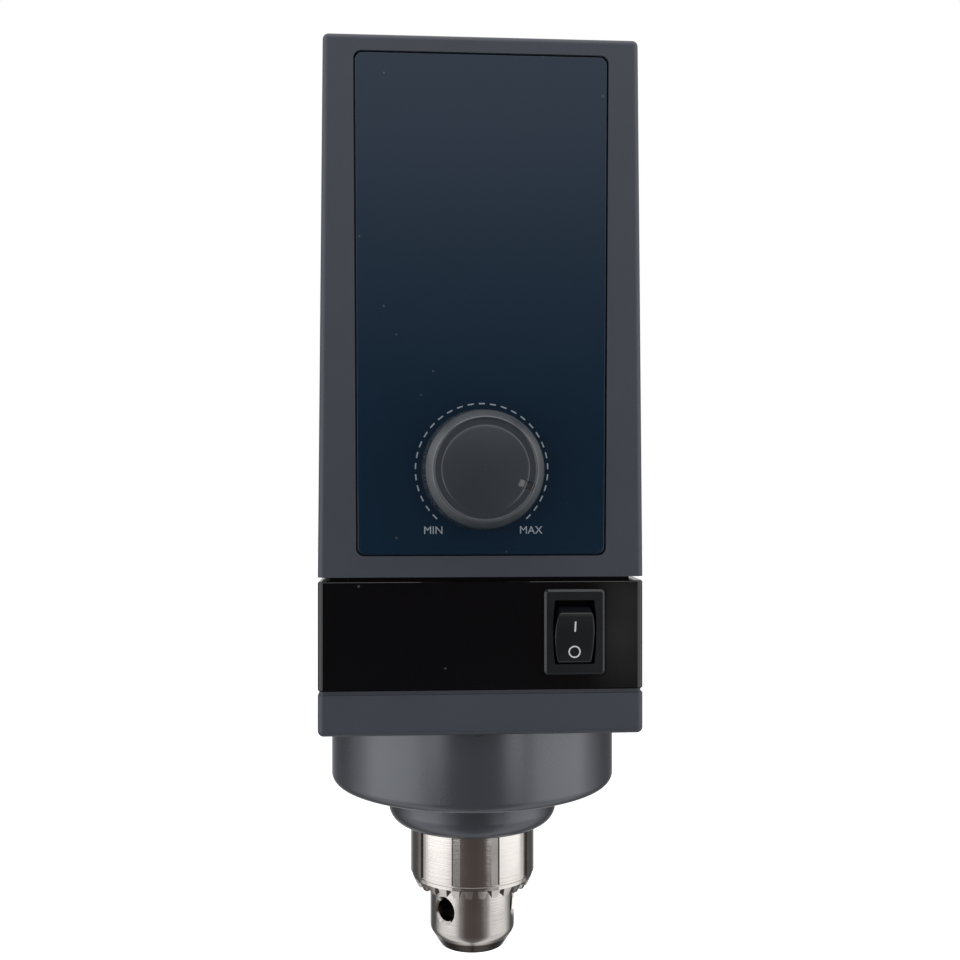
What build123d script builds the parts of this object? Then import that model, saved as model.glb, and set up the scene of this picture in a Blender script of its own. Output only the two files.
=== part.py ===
from build123d import *
import os
from math import cos, radians, sin, sqrt, tan

os.makedirs("parts", exist_ok=True)

# All sizes are millimetres. The origin is the centre of the chuck's mouth, on the spindle axis.
# +Z runs up the spindle, -Y is the front with the panel, and +X is to the right seen from the front.
# Where a shape cuts another, it runs 1 mm past the piece that it cuts.

# Casing
body_width = 80.8
side_draft = 1.1
front_to_axis = 42.0
axis_to_back = 53.0
casing_wall = 2.5
casing_edge = 1.5
seam_gap = 1.0
seam_land_inset = 0.5
tongue_thickness = 2.0
tongue_clearance = 0.25
tongue_overlap = 3.9
tongue_root = 5.5
ledge_thickness = 2.0
shell_height = 134.2
band_height = 27.0
base_height = 10.2
base_floor = 4.0
base_bottom_edge = 1.5
band_edge = 0.3
smallest_corner = 0.4
merge = 0.1

# Nose and collar
collar_bottom = 35.5
nose_radius = 39.2
nose_height = 20.5
nose_wall = 3.5
nose_floor = 3.0
nose_bottom_edge = 2.6
collar_radius = 23.5
collar_height = 10.9
collar_edge = 0.6
collar_cavity_radius = 18.5
collar_web = 3.0
collar_cavity_depth = 9.5
flange_clearance = 1.5
hub_clearance = 0.1
hub_radius = 20.0
hub_rise = 9.1
rib_thickness = 2.5
rib_drop = 5.0
nose_screw_circle = 28.0
nose_boss_radius = 4.2

# Panel
panel_width_top = 62.9
panel_width_bottom = 61.3
panel_height = 124.1
panel_bottom_offset = 5.5
panel_thickness = 2.0
panel_corner = 2.0
panel_edge = 0.35
panel_gap = 0.3
panel_recess = 2.2

# Speed control
knob_height_on_shell = 26.5
knob_base_radius = 15.0
knob_top_radius = 14.2
knob_side_height = 11.6
knob_height = 14.0
knob_ring_outer = 12.3
knob_ring_inner = 10.3
knob_ring_sink = 0.35
knob_ring_slope = 0.3
knob_dome_rise = 0.5
knob_cavity_radius = 12.4
knob_cavity_depth = 9.0
knob_top_wall = 1.8
knob_hub_radius = 5.0
knob_hub_lift = 4.5
knob_gap = 0.5
pointer_angle = -21.0
pointer_width = 1.9
pointer_depth = 0.9
pointer_reach = 1.2
pot_radius = 8.2
pot_depth = 7.5
pot_back = 2.0
pot_bush_radius = 3.5
pot_bush_length = 9.0
pot_shaft_radius = 3.0
pot_shaft_flat = 1.2
pot_nut_flats = 10.0
pot_nut_height = 2.0
pot_hole_clearance = 0.2
pot_lug_width = 1.6
pot_lug_thickness = 0.5
pot_lug_length = 6.0
pot_lug_pitch = 5.0
pot_lug_root = 3.0
pot_lug_lift = 1.0

# Rocker switch
switch_from_side = 17.5
switch_height_on_band = 14.4
bezel_width = 15.0
bezel_height = 21.0
bezel_thickness = 2.0
bezel_corner = 1.0
bezel_chamfer = 0.5
bezel_recess_width = 16.2
bezel_recess_height = 22.2
bezel_recess_depth = 0.4
switch_body_width = 13.0
switch_body_height = 19.2
switch_body_depth = 17.5
switch_cutout_clearance = 0.1
switch_mouth_width = 10.8
switch_mouth_height = 15.8
switch_mouth_bow = 0.5
switch_cavity_depth = 10.6
rocker_width = 9.9
rocker_bow = 0.5
rocker_tilt = 13.0
rocker_pivot_depth = 4.1
rocker_end_rise = 5.4
rocker_mid_rise = 4.4
rocker_half_length = 6.45
rocker_foot_half_length = 6.9
rocker_foot_rise = 1.5
rocker_keel_half_length = 2.2
rocker_keel_drop = 1.0
rocker_edge = 0.5
rocker_pin_radius = 1.6
rocker_pin_length = 12.2
terminal_width = 4.8
terminal_thickness = 0.8
terminal_length = 8.0
terminal_pitch = 6.4

# Chuck
chuck_length = 43.5
mouth_face_radius = 9.0
mouth_cone_height = 4.4
mouth_cone_round = 3.0
chuck_body_radius = 11.86
shaft_bore_radius = 5.25
shaft_bore_depth = 24.0
key_hole_radius = 3.0
key_hole_chamfer = 0.5
key_hole_height = 11.5
key_hole_floor_radius = 7.2
key_hole_angle = -44.0
sleeve_bottom = 17.1
sleeve_top = 40.0
sleeve_radius = 17.4
tooth_ring_radius = 16.9
tooth_tip_radius = 15.8
tooth_ring_height = 3.7
tooth_count = 28
tooth_height = 2.4
tooth_gap_root = 1.2
tooth_gap_tip = 2.2
tooth_gap_lead = 0.8
step_groove_height = 0.45
step_groove_depth = 0.35
flute_count = 10
flute_first_angle = 18.0
flute_width = 2.3
sleeve_lip = 1.8
sleeve_face_rise = 0.5
sleeve_top_chamfer = 0.8
sleeve_running_clearance = 0.1
nut_height = 5.6
nut_outer_radius = 14.6
nut_split = 0.4
nut_end_play = 0.2
neck_radius = 9.2
jaw_count = 3
jaw_radius = 2.5
jaw_running_clearance = 0.06
jaw_tilt = 14.0
jaw_axis_radius_at_nut = 8.1
jaw_open_radius = 5.3
jaw_closed_radius = 0.5
jaw_tip_height = 4.0
jaw_top_height = 41.2
jaw_wedge_clearance = 0.1
jaw_thread_clearance = 0.08
jaw_back_sink = 0.1

# Spindle and bearings
screw_nose_radius = 4.76
screw_nose_length = 15.5
spindle_flange_radius = 8.2
spindle_radius = 6.0
spindle_top_radius = 5.0
spindle_top_length = 12.0
bearing_outer_radius = 14.0
bearing_width = 8.0
bearing_ring_wall = 2.4
bearing_seal_inset = 0.6
bearing_seal_clearance = 0.1
bearing_spacing = 12.0
bearing_seat_clearance = 0.02
spacer_wall = 1.8
circlip_radius = 7.2
circlip_thickness = 1.0
circlip_groove = 0.4
circlip_gap = 3.0
retainer_radius = 19.0
retainer_thickness = 2.5
retainer_screw_circle = 16.6

# Coupling
coupling_radius = 13.0
coupling_lift = 3.0
coupling_hub_height = 9.0
coupling_jaw_height = 5.0
coupling_jaw_angle = 42.0
coupling_lobe_angle = 17.4
coupling_lobe_radius = 12.4
coupling_core_radius = 6.5
coupling_jaw_inset = 0.3
coupling_bore_clearance = 0.03
coupling_end_gap = 0.3

# Motor
motor_plate_thickness = 4.0
motor_plate_side_gap = 3.9
motor_plate_front = 33.0
motor_plate_back = 48.0
motor_plate_height = 110.0
motor_plate_corner = 3.0
post_radius = 3.5
post_inset = 4.0
post_front_y = -10.0
post_back_y = 28.0
post_spigot_radius = 2.0
post_spigot_length = 3.0
motor_radius = 26.0
motor_length = 68.0
motor_wall = 2.0
motor_base = 3.0
motor_edge = 0.8
motor_boss_radius = 11.0
motor_shaft_radius = 4.0
motor_bush_radius = 8.0
motor_bush_length = 8.0
bush_running_clearance = 0.03
magnet_thickness = 3.5
magnet_angle = 130.0
magnet_length = 50.0
magnet_lift = 8.0
air_gap = 0.7
core_length = 44.0
core_lift = 11.0
core_slots = 7
core_slot_width = 4.0
core_slot_floor = 9.0
coil_end_radius = 15.0
coil_end_height = 3.6
coil_end_clearance = 1.0
coil_slot_gap = 0.1
commutator_radius = 8.0
commutator_length = 7.0
commutator_lift = 60.2
brush_side = 5.0
brush_length = 8.6
brush_clearance = 0.1
brush_holder_wall = 1.5
brush_holder_start = 12.0
brush_holder_end = 20.0
bell_thickness = 4.0
bell_register = 2.0
bell_boss_radius = 11.0
bell_boss_height = 6.0
bell_hole_clearance = 0.5
motor_screw_circle = 18.0

# Stand rod
rod_radius = 6.5
rod_shank_radius = 6.0
rod_length = 140.0
rod_shank_in_block = 18.0
rod_height_on_plate = 15.0
rod_end_chamfer = 1.0
rod_block_half_width = 14.0
rod_block_height = 30.0
rod_block_front = 28.0
rod_bore_clearance = 0.05
rod_hole_clearance = 0.3
rod_block_edge = 2.0
set_screw_radius = 2.5
set_screw_y = 42.0
set_screw_sink = 0.8
set_screw_socket_depth = 2.0
block_screw_x = 9.0
block_screw_y = 39.0

# Rear cover
cover_thickness = 3.0
cover_edge = 1.2
cover_boss_side = 8.0
cover_boss_depth = 16.0
cover_screw_inset = 6.6
cover_screw_low = 15.0
cover_screw_high = 7.0
vent_count = 6
vent_width = 2.0
vent_length = 30.0
vent_pitch = 6.0
vent_height_on_shell = 96.0

# Control board
board_width = 56.0
board_height = 70.0
board_thickness = 1.6
board_below_top = 10.0
board_standoff = 5.0
board_boss_radius = 3.0
board_hole_inset = 4.0
capacitor_radius = 5.0
capacitor_length = 14.0
capacitor_edge = 0.8
capacitor_x = 9.0
capacitor_drop = 16.0
heatsink_width = 24.0
heatsink_height = 26.0
heatsink_base = 2.5
heatsink_depth = 11.0
heatsink_fins = 6
heatsink_fin_thickness = 1.4
heatsink_lift = 14.0
terminal_block_width = 15.0
terminal_block_height = 8.0
terminal_block_depth = 10.0
terminal_block_x = 12.0
terminal_block_lift = 1.5
terminal_block_wall = 2.0

# Power jack
jack_from_side = 18.4
jack_body_radius = 5.5
jack_body_length = 13.0
jack_flange_radius = 7.0
jack_flange_thickness = 1.5
jack_hole_clearance = 0.1
jack_socket_radius = 2.8
jack_socket_depth = 9.5
jack_pin_radius = 1.05
jack_pin_sink = 1.0
jack_edge = 0.4
jack_nut_flats = 14.0
jack_nut_height = 3.0

# Screws, as thread radius, head radius and head height
screw_m3 = (1.5, 2.75, 3.0)
screw_m4 = (2.0, 3.5, 4.0)
screw_m5 = (2.5, 4.25, 5.0)
screw_clearance = 0.05
hole_rest = 1.0
nose_screw_grip = 10.0
retainer_screw_grip = 6.0
post_screw_grip = 8.0
block_screw_grip = 6.0
cover_screw_grip = 8.0
screw_end_gap = 0.5
socket_share = 0.5

# Levels and planes that follow from the sizes above
nose_bottom = collar_bottom + collar_height
base_bottom = nose_bottom + nose_height
base_top = base_bottom + base_height
band_bottom = base_top + seam_gap
band_top = band_bottom + band_height
shell_bottom = band_top + seam_gap
shell_top = shell_bottom + shell_height
front = -front_to_axis
back = axis_to_back
shell_back = back - cover_thickness
body_depth = front_to_axis + axis_to_back
body_centre_y = (back + front) / 2
floor_top = base_bottom + base_floor
hub_top = base_bottom + hub_rise
web_top = collar_bottom + collar_cavity_depth + collar_web
recess_floor = front + panel_recess
inner_front = recess_floor + casing_wall
panel_front = recess_floor - panel_thickness
tongue_top = band_top + tongue_overlap
ledge_top = tongue_top + ledge_thickness
plate_bottom = motor_plate_height
plate_top = plate_bottom + motor_plate_thickness
motor_plate_half_width = body_width / 2 - casing_wall - motor_plate_side_gap
post_x = motor_plate_half_width - post_inset
knob_z = shell_bottom + knob_height_on_shell
pot_hole_radius = pot_bush_radius + pot_hole_clearance
switch_z = band_bottom + switch_height_on_band
switch_offset_x = body_width / 2 - switch_from_side
band_mid = band_bottom + band_height / 2
jack_x = jack_from_side - body_width / 2
rod_z = plate_top + rod_height_on_plate


def cylinder(radius, low, high, x=0, y=0):
    """An upright cylinder between two levels."""
    return Pos(x, y, low) * Cylinder(radius, high - low, align=(Align.CENTER, Align.CENTER, Align.MIN))


def tube(outer, inner, low, high):
    """An upright tube round the spindle axis."""
    return cylinder(outer, low, high) - cylinder(inner, low - 1, high + 1)


def block(x_low, x_high, y_low, y_high, z_low, z_high):
    """A box between six planes."""
    size = Box(x_high - x_low, y_high - y_low, z_high - z_low, align=Align.MIN)
    return Pos(x_low, y_low, z_low) * size


def prism(inset, low, high):
    """The casing's plan, taken in by an inset all round, between two levels."""
    corner = max(casing_edge - inset, smallest_corner)
    plan = RectangleRounded(body_width - 2 * inset, body_depth - 2 * inset, corner)
    return extrude(Pos(0, body_centre_y, low) * plan, high - low)


def front_plate(outline, near, far):
    """An outline drawn in the X-Z plane, extruded from one Y to another."""
    face = Pos(0, near, 0) * (Plane.XZ * outline)
    return extrude(face, far - near, dir=(0, 1, 0))


def turned(*points):
    """A solid of revolution about the spindle axis from points of radius and height."""
    return revolve(Plane.XZ * make_face(Polyline(*points, close=True)), Axis.Z)


def facing_front(x, y, z):
    """The frame of a piece whose own axis points out of the front."""
    return Pos(x, y, z) * Rot(90, 0, 0)


def facing_back(x, y, z):
    """The frame of a piece whose own axis points out of the back."""
    return Pos(x, y, z) * Rot(-90, 0, 0)


def from_front(angle):
    """A turn about the spindle axis that takes +X to an angle counted from the front towards +X."""
    return Rot(0, 0, angle - 90)


def cap_screw(size, length):
    """A socket screw along Z, with its head's seat at zero and its thread below."""
    thread, head, height = size
    screw = cylinder(thread, -length, 0) + cylinder(head, 0, height)
    socket = extrude(Pos(0, 0, height) * RegularPolygon(head * socket_share, 6), -height / 2)
    return screw - socket


def shell_half_width(z):
    """Half the drafted shell's width at a level."""
    share = (z - shell_bottom) / shell_height
    return body_width / 2 - side_draft * share


def shell_outline(inset, low, high):
    """The shell's drafted front view, taken in from its sides, between two levels."""
    low_half = shell_half_width(low) - inset
    high_half = shell_half_width(high) - inset
    corners = [(-low_half, low), (low_half, low), (high_half, high), (-high_half, high)]
    return Polygon(*corners, align=None)


def panel_outline(grow):
    """The panel's front view, which narrows downwards, grown all round."""
    low = shell_bottom + panel_bottom_offset - grow
    high = low + panel_height + 2 * grow
    bottom = panel_width_bottom / 2 + grow
    top = panel_width_top / 2 + grow
    corners = [(-bottom, low), (bottom, low), (top, high), (-top, high)]
    sheet = Polygon(*corners, align=None)
    return fillet(sheet.vertices(), panel_corner)


def cover_screw_places():
    """The rear cover's four screw places in the X-Z plane."""
    places = []
    for z in (shell_bottom + cover_screw_low, shell_top - cover_screw_high):
        x = shell_half_width(z) - cover_screw_inset
        places += [(-x, z), (x, z)]
    return places


def board_hole_places():
    """The control board's four screw places in the X-Z plane."""
    high = shell_top - board_below_top - board_hole_inset
    low = high - board_height + 2 * board_hole_inset
    x = board_width / 2 - board_hole_inset
    return [(-x, low), (x, low), (-x, high), (x, high)]


def post_places():
    """The four posts that carry the motor plate."""
    return [(x, y) for x in (-post_x, post_x) for y in (post_front_y, post_back_y)]


# Casing pieces
def make_upper_shell():
    """Drafted housing with a panel recess, open at its back and bottom."""
    shell = front_plate(shell_outline(0, shell_bottom, shell_top), front, shell_back)
    rounded = shell.edges().filter_by(Axis.Y).group_by(Axis.Z)[-1]
    front_edges = shell.edges().group_by(Axis.Y)[0]
    rounded += front_edges.filter_by(lambda edge: edge.center().Z > shell_bottom + casing_edge)
    shell = fillet(rounded, casing_edge)
    hollow_outline = shell_outline(casing_wall, shell_bottom - 1, shell_top - casing_wall)
    shell -= front_plate(hollow_outline, inner_front, back)
    ledge_outline = shell_outline(casing_wall - merge, tongue_top, ledge_top)
    ledge = front_plate(ledge_outline, inner_front - merge, shell_back)
    ledge -= tongue_block(tongue_thickness, tongue_top, ledge_top)
    ledge -= block(-body_width / 3, body_width / 3, 0, back, tongue_top, ledge_top)
    shell += ledge
    for x, z in cover_screw_places():
        half = cover_boss_side / 2
        side = 1 if x > 0 else -1
        outer = shell_half_width(z) - casing_wall / 2
        low_x, high_x = sorted((x - side * half, side * outer))
        boss = block(low_x, high_x, shell_back - cover_boss_depth, shell_back, z - half, z + half)
        hole = cylinder(screw_m3[0] + screw_clearance, -cover_screw_grip - hole_rest, 1)
        shell += boss
        shell -= facing_back(x, shell_back, z) * hole
    shell -= front_plate(panel_outline(panel_gap), front - 1, recess_floor)
    shell -= facing_front(0, inner_front, knob_z) * cylinder(pot_hole_radius, -1, casing_wall + 1)
    return shell


def make_front_panel():
    """Glossy plate in the shell's recess."""
    panel = front_plate(panel_outline(0), panel_front, recess_floor)
    panel = fillet(panel.edges().group_by(Axis.Y)[0], panel_edge)
    return panel - facing_front(0, recess_floor, knob_z) * cylinder(pot_hole_radius, -1, panel_thickness + 1)


def tongue_block(inset, low, high):
    """What the shell's lower end leaves free inside it, taken in all round."""
    half = body_width / 2 - casing_wall - inset
    return block(-half, half, inner_front + inset, shell_back - inset, low, high)


def make_trim_band():
    """Gloss ring between the shell and the base, with a tongue that enters the shell."""
    root_bottom = band_top - tongue_root
    opening = tongue_block(tongue_clearance + tongue_thickness, root_bottom - 1, tongue_top + 1)
    band = prism(0, band_bottom, band_top) - prism(casing_wall, band_bottom - 1, band_top + 1)
    rims = band.edges().group_by(Axis.Z)[0] + band.edges().group_by(Axis.Z)[-1]
    band = chamfer(rims, band_edge)
    band += prism(casing_wall - merge, root_bottom, band_top) - opening
    band += tongue_block(tongue_clearance, band_top - 1, tongue_top) - opening
    cut_width = switch_body_width / 2 + switch_cutout_clearance
    cut_height = switch_body_height / 2 + switch_cutout_clearance
    left = switch_offset_x - cut_width
    right = switch_offset_x + cut_width
    band -= block(left, right, front - 1, 0, switch_z - cut_height, switch_z + cut_height)
    rim = RectangleRounded(bezel_recess_width, bezel_recess_height, bezel_corner)
    band -= front_plate(Pos(switch_offset_x, switch_z) * rim, front - 1, front + bezel_recess_depth)
    jack_hole = cylinder(jack_body_radius + jack_hole_clearance, -jack_body_length, 1)
    return band - facing_back(jack_x, back, band_mid) * jack_hole


def make_base_ring():
    """Lower ring with the floor that carries the nose and the posts."""
    outer = prism(0, base_bottom, base_top)
    outer = fillet(outer.edges().group_by(Axis.Z)[0], base_bottom_edge)
    ring = outer + prism(seam_land_inset, base_top, band_bottom)
    tongue = casing_wall + tongue_clearance
    ring += prism(tongue, band_bottom, band_bottom + tongue_overlap)
    ring -= prism(casing_wall + tongue_thickness, floor_top, shell_bottom)
    ring -= cylinder(hub_radius + hub_clearance, base_bottom - 1, floor_top + 1)
    for x, y in nose_screw_places():
        ring -= cylinder(screw_m4[0] + screw_clearance, base_bottom - 1, floor_top + 1, x, y)
    for x, y in post_places():
        ring -= cylinder(post_spigot_radius + screw_clearance, floor_top - post_spigot_length,
                         floor_top + 1, x, y)
    return ring


def nose_screw_places():
    """The four screws between base and nose, on the diagonals."""
    reach = nose_screw_circle * cos(radians(45))
    return [(x, y) for x in (-reach, reach) for y in (-reach, reach)]


def make_nose_housing():
    """Round bearing housing with a stepped collar, a central hub and radial ribs."""
    drum = cylinder(nose_radius, nose_bottom, base_bottom)
    drum = fillet(drum.edges().group_by(Axis.Z)[0], nose_bottom_edge)
    drum -= tube(nose_radius - nose_wall, hub_radius, nose_bottom + nose_floor, base_bottom + 1)
    collar = cylinder(collar_radius, collar_bottom, nose_bottom + 1)
    collar = fillet(collar.edges().group_by(Axis.Z)[0], collar_edge)
    nose = drum + collar + cylinder(hub_radius, nose_bottom, hub_top)
    for turn in (0, 90):
        rib = block(-rib_thickness / 2, rib_thickness / 2, -nose_radius + 1, nose_radius - 1,
                    nose_bottom + 1, base_bottom - rib_drop)
        nose += Rot(0, 0, turn) * rib
    for x, y in nose_screw_places():
        nose += cylinder(nose_boss_radius, nose_bottom + 1, base_bottom, x, y)
        nose -= cylinder(screw_m4[0] + screw_clearance, base_bottom - nose_screw_grip - hole_rest,
                         base_bottom + 1, x, y)
    nose -= cylinder(collar_cavity_radius, collar_bottom - 1, web_top - collar_web)
    nose -= cylinder(spindle_flange_radius + flange_clearance, collar_bottom, web_top + 1)
    nose -= cylinder(bearing_outer_radius + bearing_seat_clearance, web_top, hub_top + 1)
    for x, y in retainer_screw_places():
        nose -= cylinder(screw_m3[0] + screw_clearance, hub_top - retainer_screw_grip - hole_rest,
                         hub_top + 1, x, y)
    return nose


def retainer_screw_places():
    """Three screws round the bearing retainer."""
    places = []
    for angle in (30, 150, 270):
        turn = radians(angle)
        places.append((retainer_screw_circle * cos(turn), retainer_screw_circle * sin(turn)))
    return places


def make_rear_cover():
    """Flat back of the shell, with vents, board pillars and holes for the rod and screws."""
    cover = front_plate(shell_outline(0, shell_bottom, shell_top), shell_back, back)
    cover = fillet(cover.edges().group_by(Axis.Y)[-1], cover_edge)
    for x, z in board_hole_places():
        cover += facing_front(x, shell_back, z) * cylinder(board_boss_radius, -merge, board_standoff)
        hole = cylinder(screw_m3[0] + screw_clearance, -1, board_standoff + 1)
        cover -= facing_front(x, shell_back, z) * hole
    for x, z in cover_screw_places():
        hole = cylinder(screw_m3[0] + screw_clearance, -1, cover_thickness + 1)
        cover -= facing_back(x, shell_back, z) * hole
    rod_hole = cylinder(rod_shank_radius + rod_hole_clearance, -1, cover_thickness + 1)
    cover -= facing_back(0, shell_back, rod_z) * rod_hole
    for index in range(vent_count):
        z = shell_bottom + vent_height_on_shell - vent_pitch * index
        slot = Pos(0, z) * SlotOverall(vent_length, vent_width)
        cover -= front_plate(slot, shell_back - 1, back + 1)
    return cover


# Speed control
def make_speed_knob():
    """Drafted knob with a chamfered rim, a sunk ring, a shallow dome and a pointer notch."""
    ring_level = knob_height - knob_ring_sink
    profile = [
        (0, 0),
        (knob_base_radius, 0),
        (knob_top_radius, knob_side_height),
        (knob_ring_outer, knob_height),
        (knob_ring_outer - knob_ring_slope, ring_level),
        (knob_ring_inner, ring_level),
        (0, ring_level),
    ]
    body = turned(*profile)
    dome_radius = (knob_ring_inner ** 2 + knob_dome_rise ** 2) / (2 * knob_dome_rise)
    dome = Pos(0, 0, ring_level + knob_dome_rise - dome_radius) * Sphere(dome_radius)
    body += dome & cylinder(knob_ring_inner, ring_level - 1, knob_height + 1)
    cavity = cylinder(knob_cavity_radius, -1, knob_cavity_depth)
    body -= cavity - cylinder(knob_hub_radius, knob_hub_lift, knob_cavity_depth)
    body -= pot_shaft_section(screw_clearance, -1, knob_height - knob_top_wall)
    notch_start = knob_ring_inner - pointer_reach
    notch = block(notch_start, knob_ring_outer - knob_ring_slope, -pointer_width / 2, pointer_width / 2,
                  ring_level - pointer_depth, knob_height + 1)
    body -= Rot(0, 0, pointer_angle) * notch
    return facing_front(0, panel_front - knob_gap, knob_z) * body


def pot_shaft_section(grow, low, high):
    """The potentiometer's shaft with its flat, grown all round."""
    radius = pot_shaft_radius + grow
    shaft = cylinder(radius, low, high)
    return shaft - block(-radius, radius, radius - pot_shaft_flat, radius + 1, low, high)


def make_potentiometer():
    """Potentiometer body and threaded bush, with three lugs below."""
    body = cylinder(pot_radius, -pot_depth, 0) + cylinder(pot_bush_radius, -1, pot_bush_length)
    body -= cylinder(pot_shaft_radius + bush_running_clearance, -pot_depth + pot_back, pot_bush_length + 1)
    for index in (-1, 0, 1):
        x = index * pot_lug_pitch
        half = pot_lug_width / 2
        low = -pot_depth + pot_lug_lift
        body += block(x - half, x + half, -pot_radius - pot_lug_length, -pot_radius + pot_lug_root,
                      low, low + pot_lug_thickness)
    return facing_front(0, inner_front, knob_z) * body


def make_pot_shaft():
    """Turning shaft that carries the knob."""
    knob_base = inner_front - panel_front + knob_gap
    end = knob_base + knob_height - knob_top_wall
    shaft = cylinder(pot_shaft_radius, -pot_depth + pot_back, knob_base + knob_hub_lift)
    shaft += pot_shaft_section(0, knob_base + knob_hub_lift, end)
    return facing_front(0, inner_front, knob_z) * shaft


def make_pot_nut():
    """Hexagon nut that holds the potentiometer against the panel."""
    nut = extrude(RegularPolygon(pot_nut_flats / 2, 6, major_radius=False), pot_nut_height)
    nut -= cylinder(pot_bush_radius + screw_clearance, -1, pot_nut_height + 1)
    return facing_front(0, panel_front, knob_z) * nut


# Rocker switch
def bowed_outline(width, height, bow):
    """A rectangle whose upright sides bulge outwards to the full width at their middle."""
    middle = width / 2
    end = middle - bow
    top = height / 2
    right = ThreePointArc((end, -top), (middle, 0), (end, top))
    left = ThreePointArc((-end, top), (-middle, 0), (-end, -top))
    return make_face(Curve() + [right, Line((end, top), (-end, top)), left, Line((-end, -top), (end, -top))])


def make_switch_housing():
    """Bezel and body of the rocker switch, with the cavity that the rocker tips in."""
    bezel_back = front + bezel_recess_depth
    bezel_front = bezel_back - bezel_thickness
    bezel = RectangleRounded(bezel_width, bezel_height, bezel_corner)
    housing = front_plate(Pos(switch_offset_x, switch_z) * bezel, bezel_front, bezel_back)
    housing = chamfer(housing.edges().group_by(Axis.Y)[0], bezel_chamfer)
    body_half_width = switch_body_width / 2
    body_half_height = switch_body_height / 2
    housing += block(switch_offset_x - body_half_width, switch_offset_x + body_half_width,
                     bezel_back - merge, bezel_back + switch_body_depth,
                     switch_z - body_half_height, switch_z + body_half_height)
    mouth = bowed_outline(switch_mouth_width, switch_mouth_height, switch_mouth_bow)
    cavity_floor = bezel_front + switch_cavity_depth
    housing -= front_plate(Pos(switch_offset_x, switch_z) * mouth, bezel_front - 1, cavity_floor)
    pin_length = rocker_pin_length + 2 * screw_clearance
    pin_hole = Rot(0, 90, 0) * Cylinder(rocker_pin_radius + screw_clearance, pin_length)
    return housing - Pos(switch_offset_x, bezel_front + rocker_pivot_depth, switch_z) * pin_hole


def make_rocker():
    """Rocking key with a hollow face and trunnions, tipped with its lower end in."""
    face = ThreePointArc((-rocker_half_length, rocker_end_rise), (0, rocker_mid_rise),
                         (rocker_half_length, rocker_end_rise))
    sides = Polyline((rocker_half_length, rocker_end_rise), (rocker_foot_half_length, rocker_foot_rise),
                     (rocker_keel_half_length, -rocker_keel_drop), (-rocker_keel_half_length, -rocker_keel_drop),
                     (-rocker_foot_half_length, rocker_foot_rise),
                     (-rocker_half_length, rocker_end_rise))
    section = make_face(Curve() + [face, sides])
    key = extrude(section, rocker_width / 2, both=True)
    key = fillet(key.edges().filter_by(Axis.Z).group_by(Axis.Y)[-1], rocker_edge)
    plan = bowed_outline(rocker_width, 2 * rocker_foot_half_length, rocker_bow)
    key &= extrude(Plane.XZ * Rot(0, 0, 90) * plan, bezel_height, both=True)
    key += Cylinder(rocker_pin_radius, rocker_pin_length)
    pivot = (switch_offset_x, front + bezel_recess_depth - bezel_thickness + rocker_pivot_depth, switch_z)
    return Plane(origin=pivot, x_dir=(0, 0, 1), z_dir=(1, 0, 0)) * Rot(0, 0, rocker_tilt) * key


def make_switch_terminals():
    """Two blades at the back of the switch."""
    start = front + bezel_recess_depth + switch_body_depth
    blades = []
    for z in (switch_z - terminal_pitch, switch_z):
        half_width = terminal_width / 2
        half_thickness = terminal_thickness / 2
        blades.append(block(switch_offset_x - half_width, switch_offset_x + half_width,
                            start, start + terminal_length, z - half_thickness, z + half_thickness))
    return Compound(blades)


# Chuck
def jaw_frame(index):
    """The frame of a jaw: its local X points outwards and its local Z is the spindle axis."""
    return from_front(key_hole_angle + 60 + 360 / jaw_count * index)


def jaw_axis_radius(z):
    """How far a jaw's own axis stands from the spindle axis at a level."""
    nut_mid = sleeve_bottom + sleeve_lip + nut_height / 2
    return jaw_axis_radius_at_nut + (z - nut_mid) * tan(radians(jaw_tilt))


def jaw_cylinder(radius, low, high):
    """A slanted cylinder on a jaw's axis, cut level at two heights."""
    middle = (low + high) / 2
    length = (high - low) * 1.3
    slant = Pos(jaw_axis_radius(middle), 0, middle) * Rot(0, jaw_tilt, 0) * Cylinder(radius, length)
    return slant & block(-chuck_length, chuck_length, -chuck_length, chuck_length, low, high)


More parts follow.
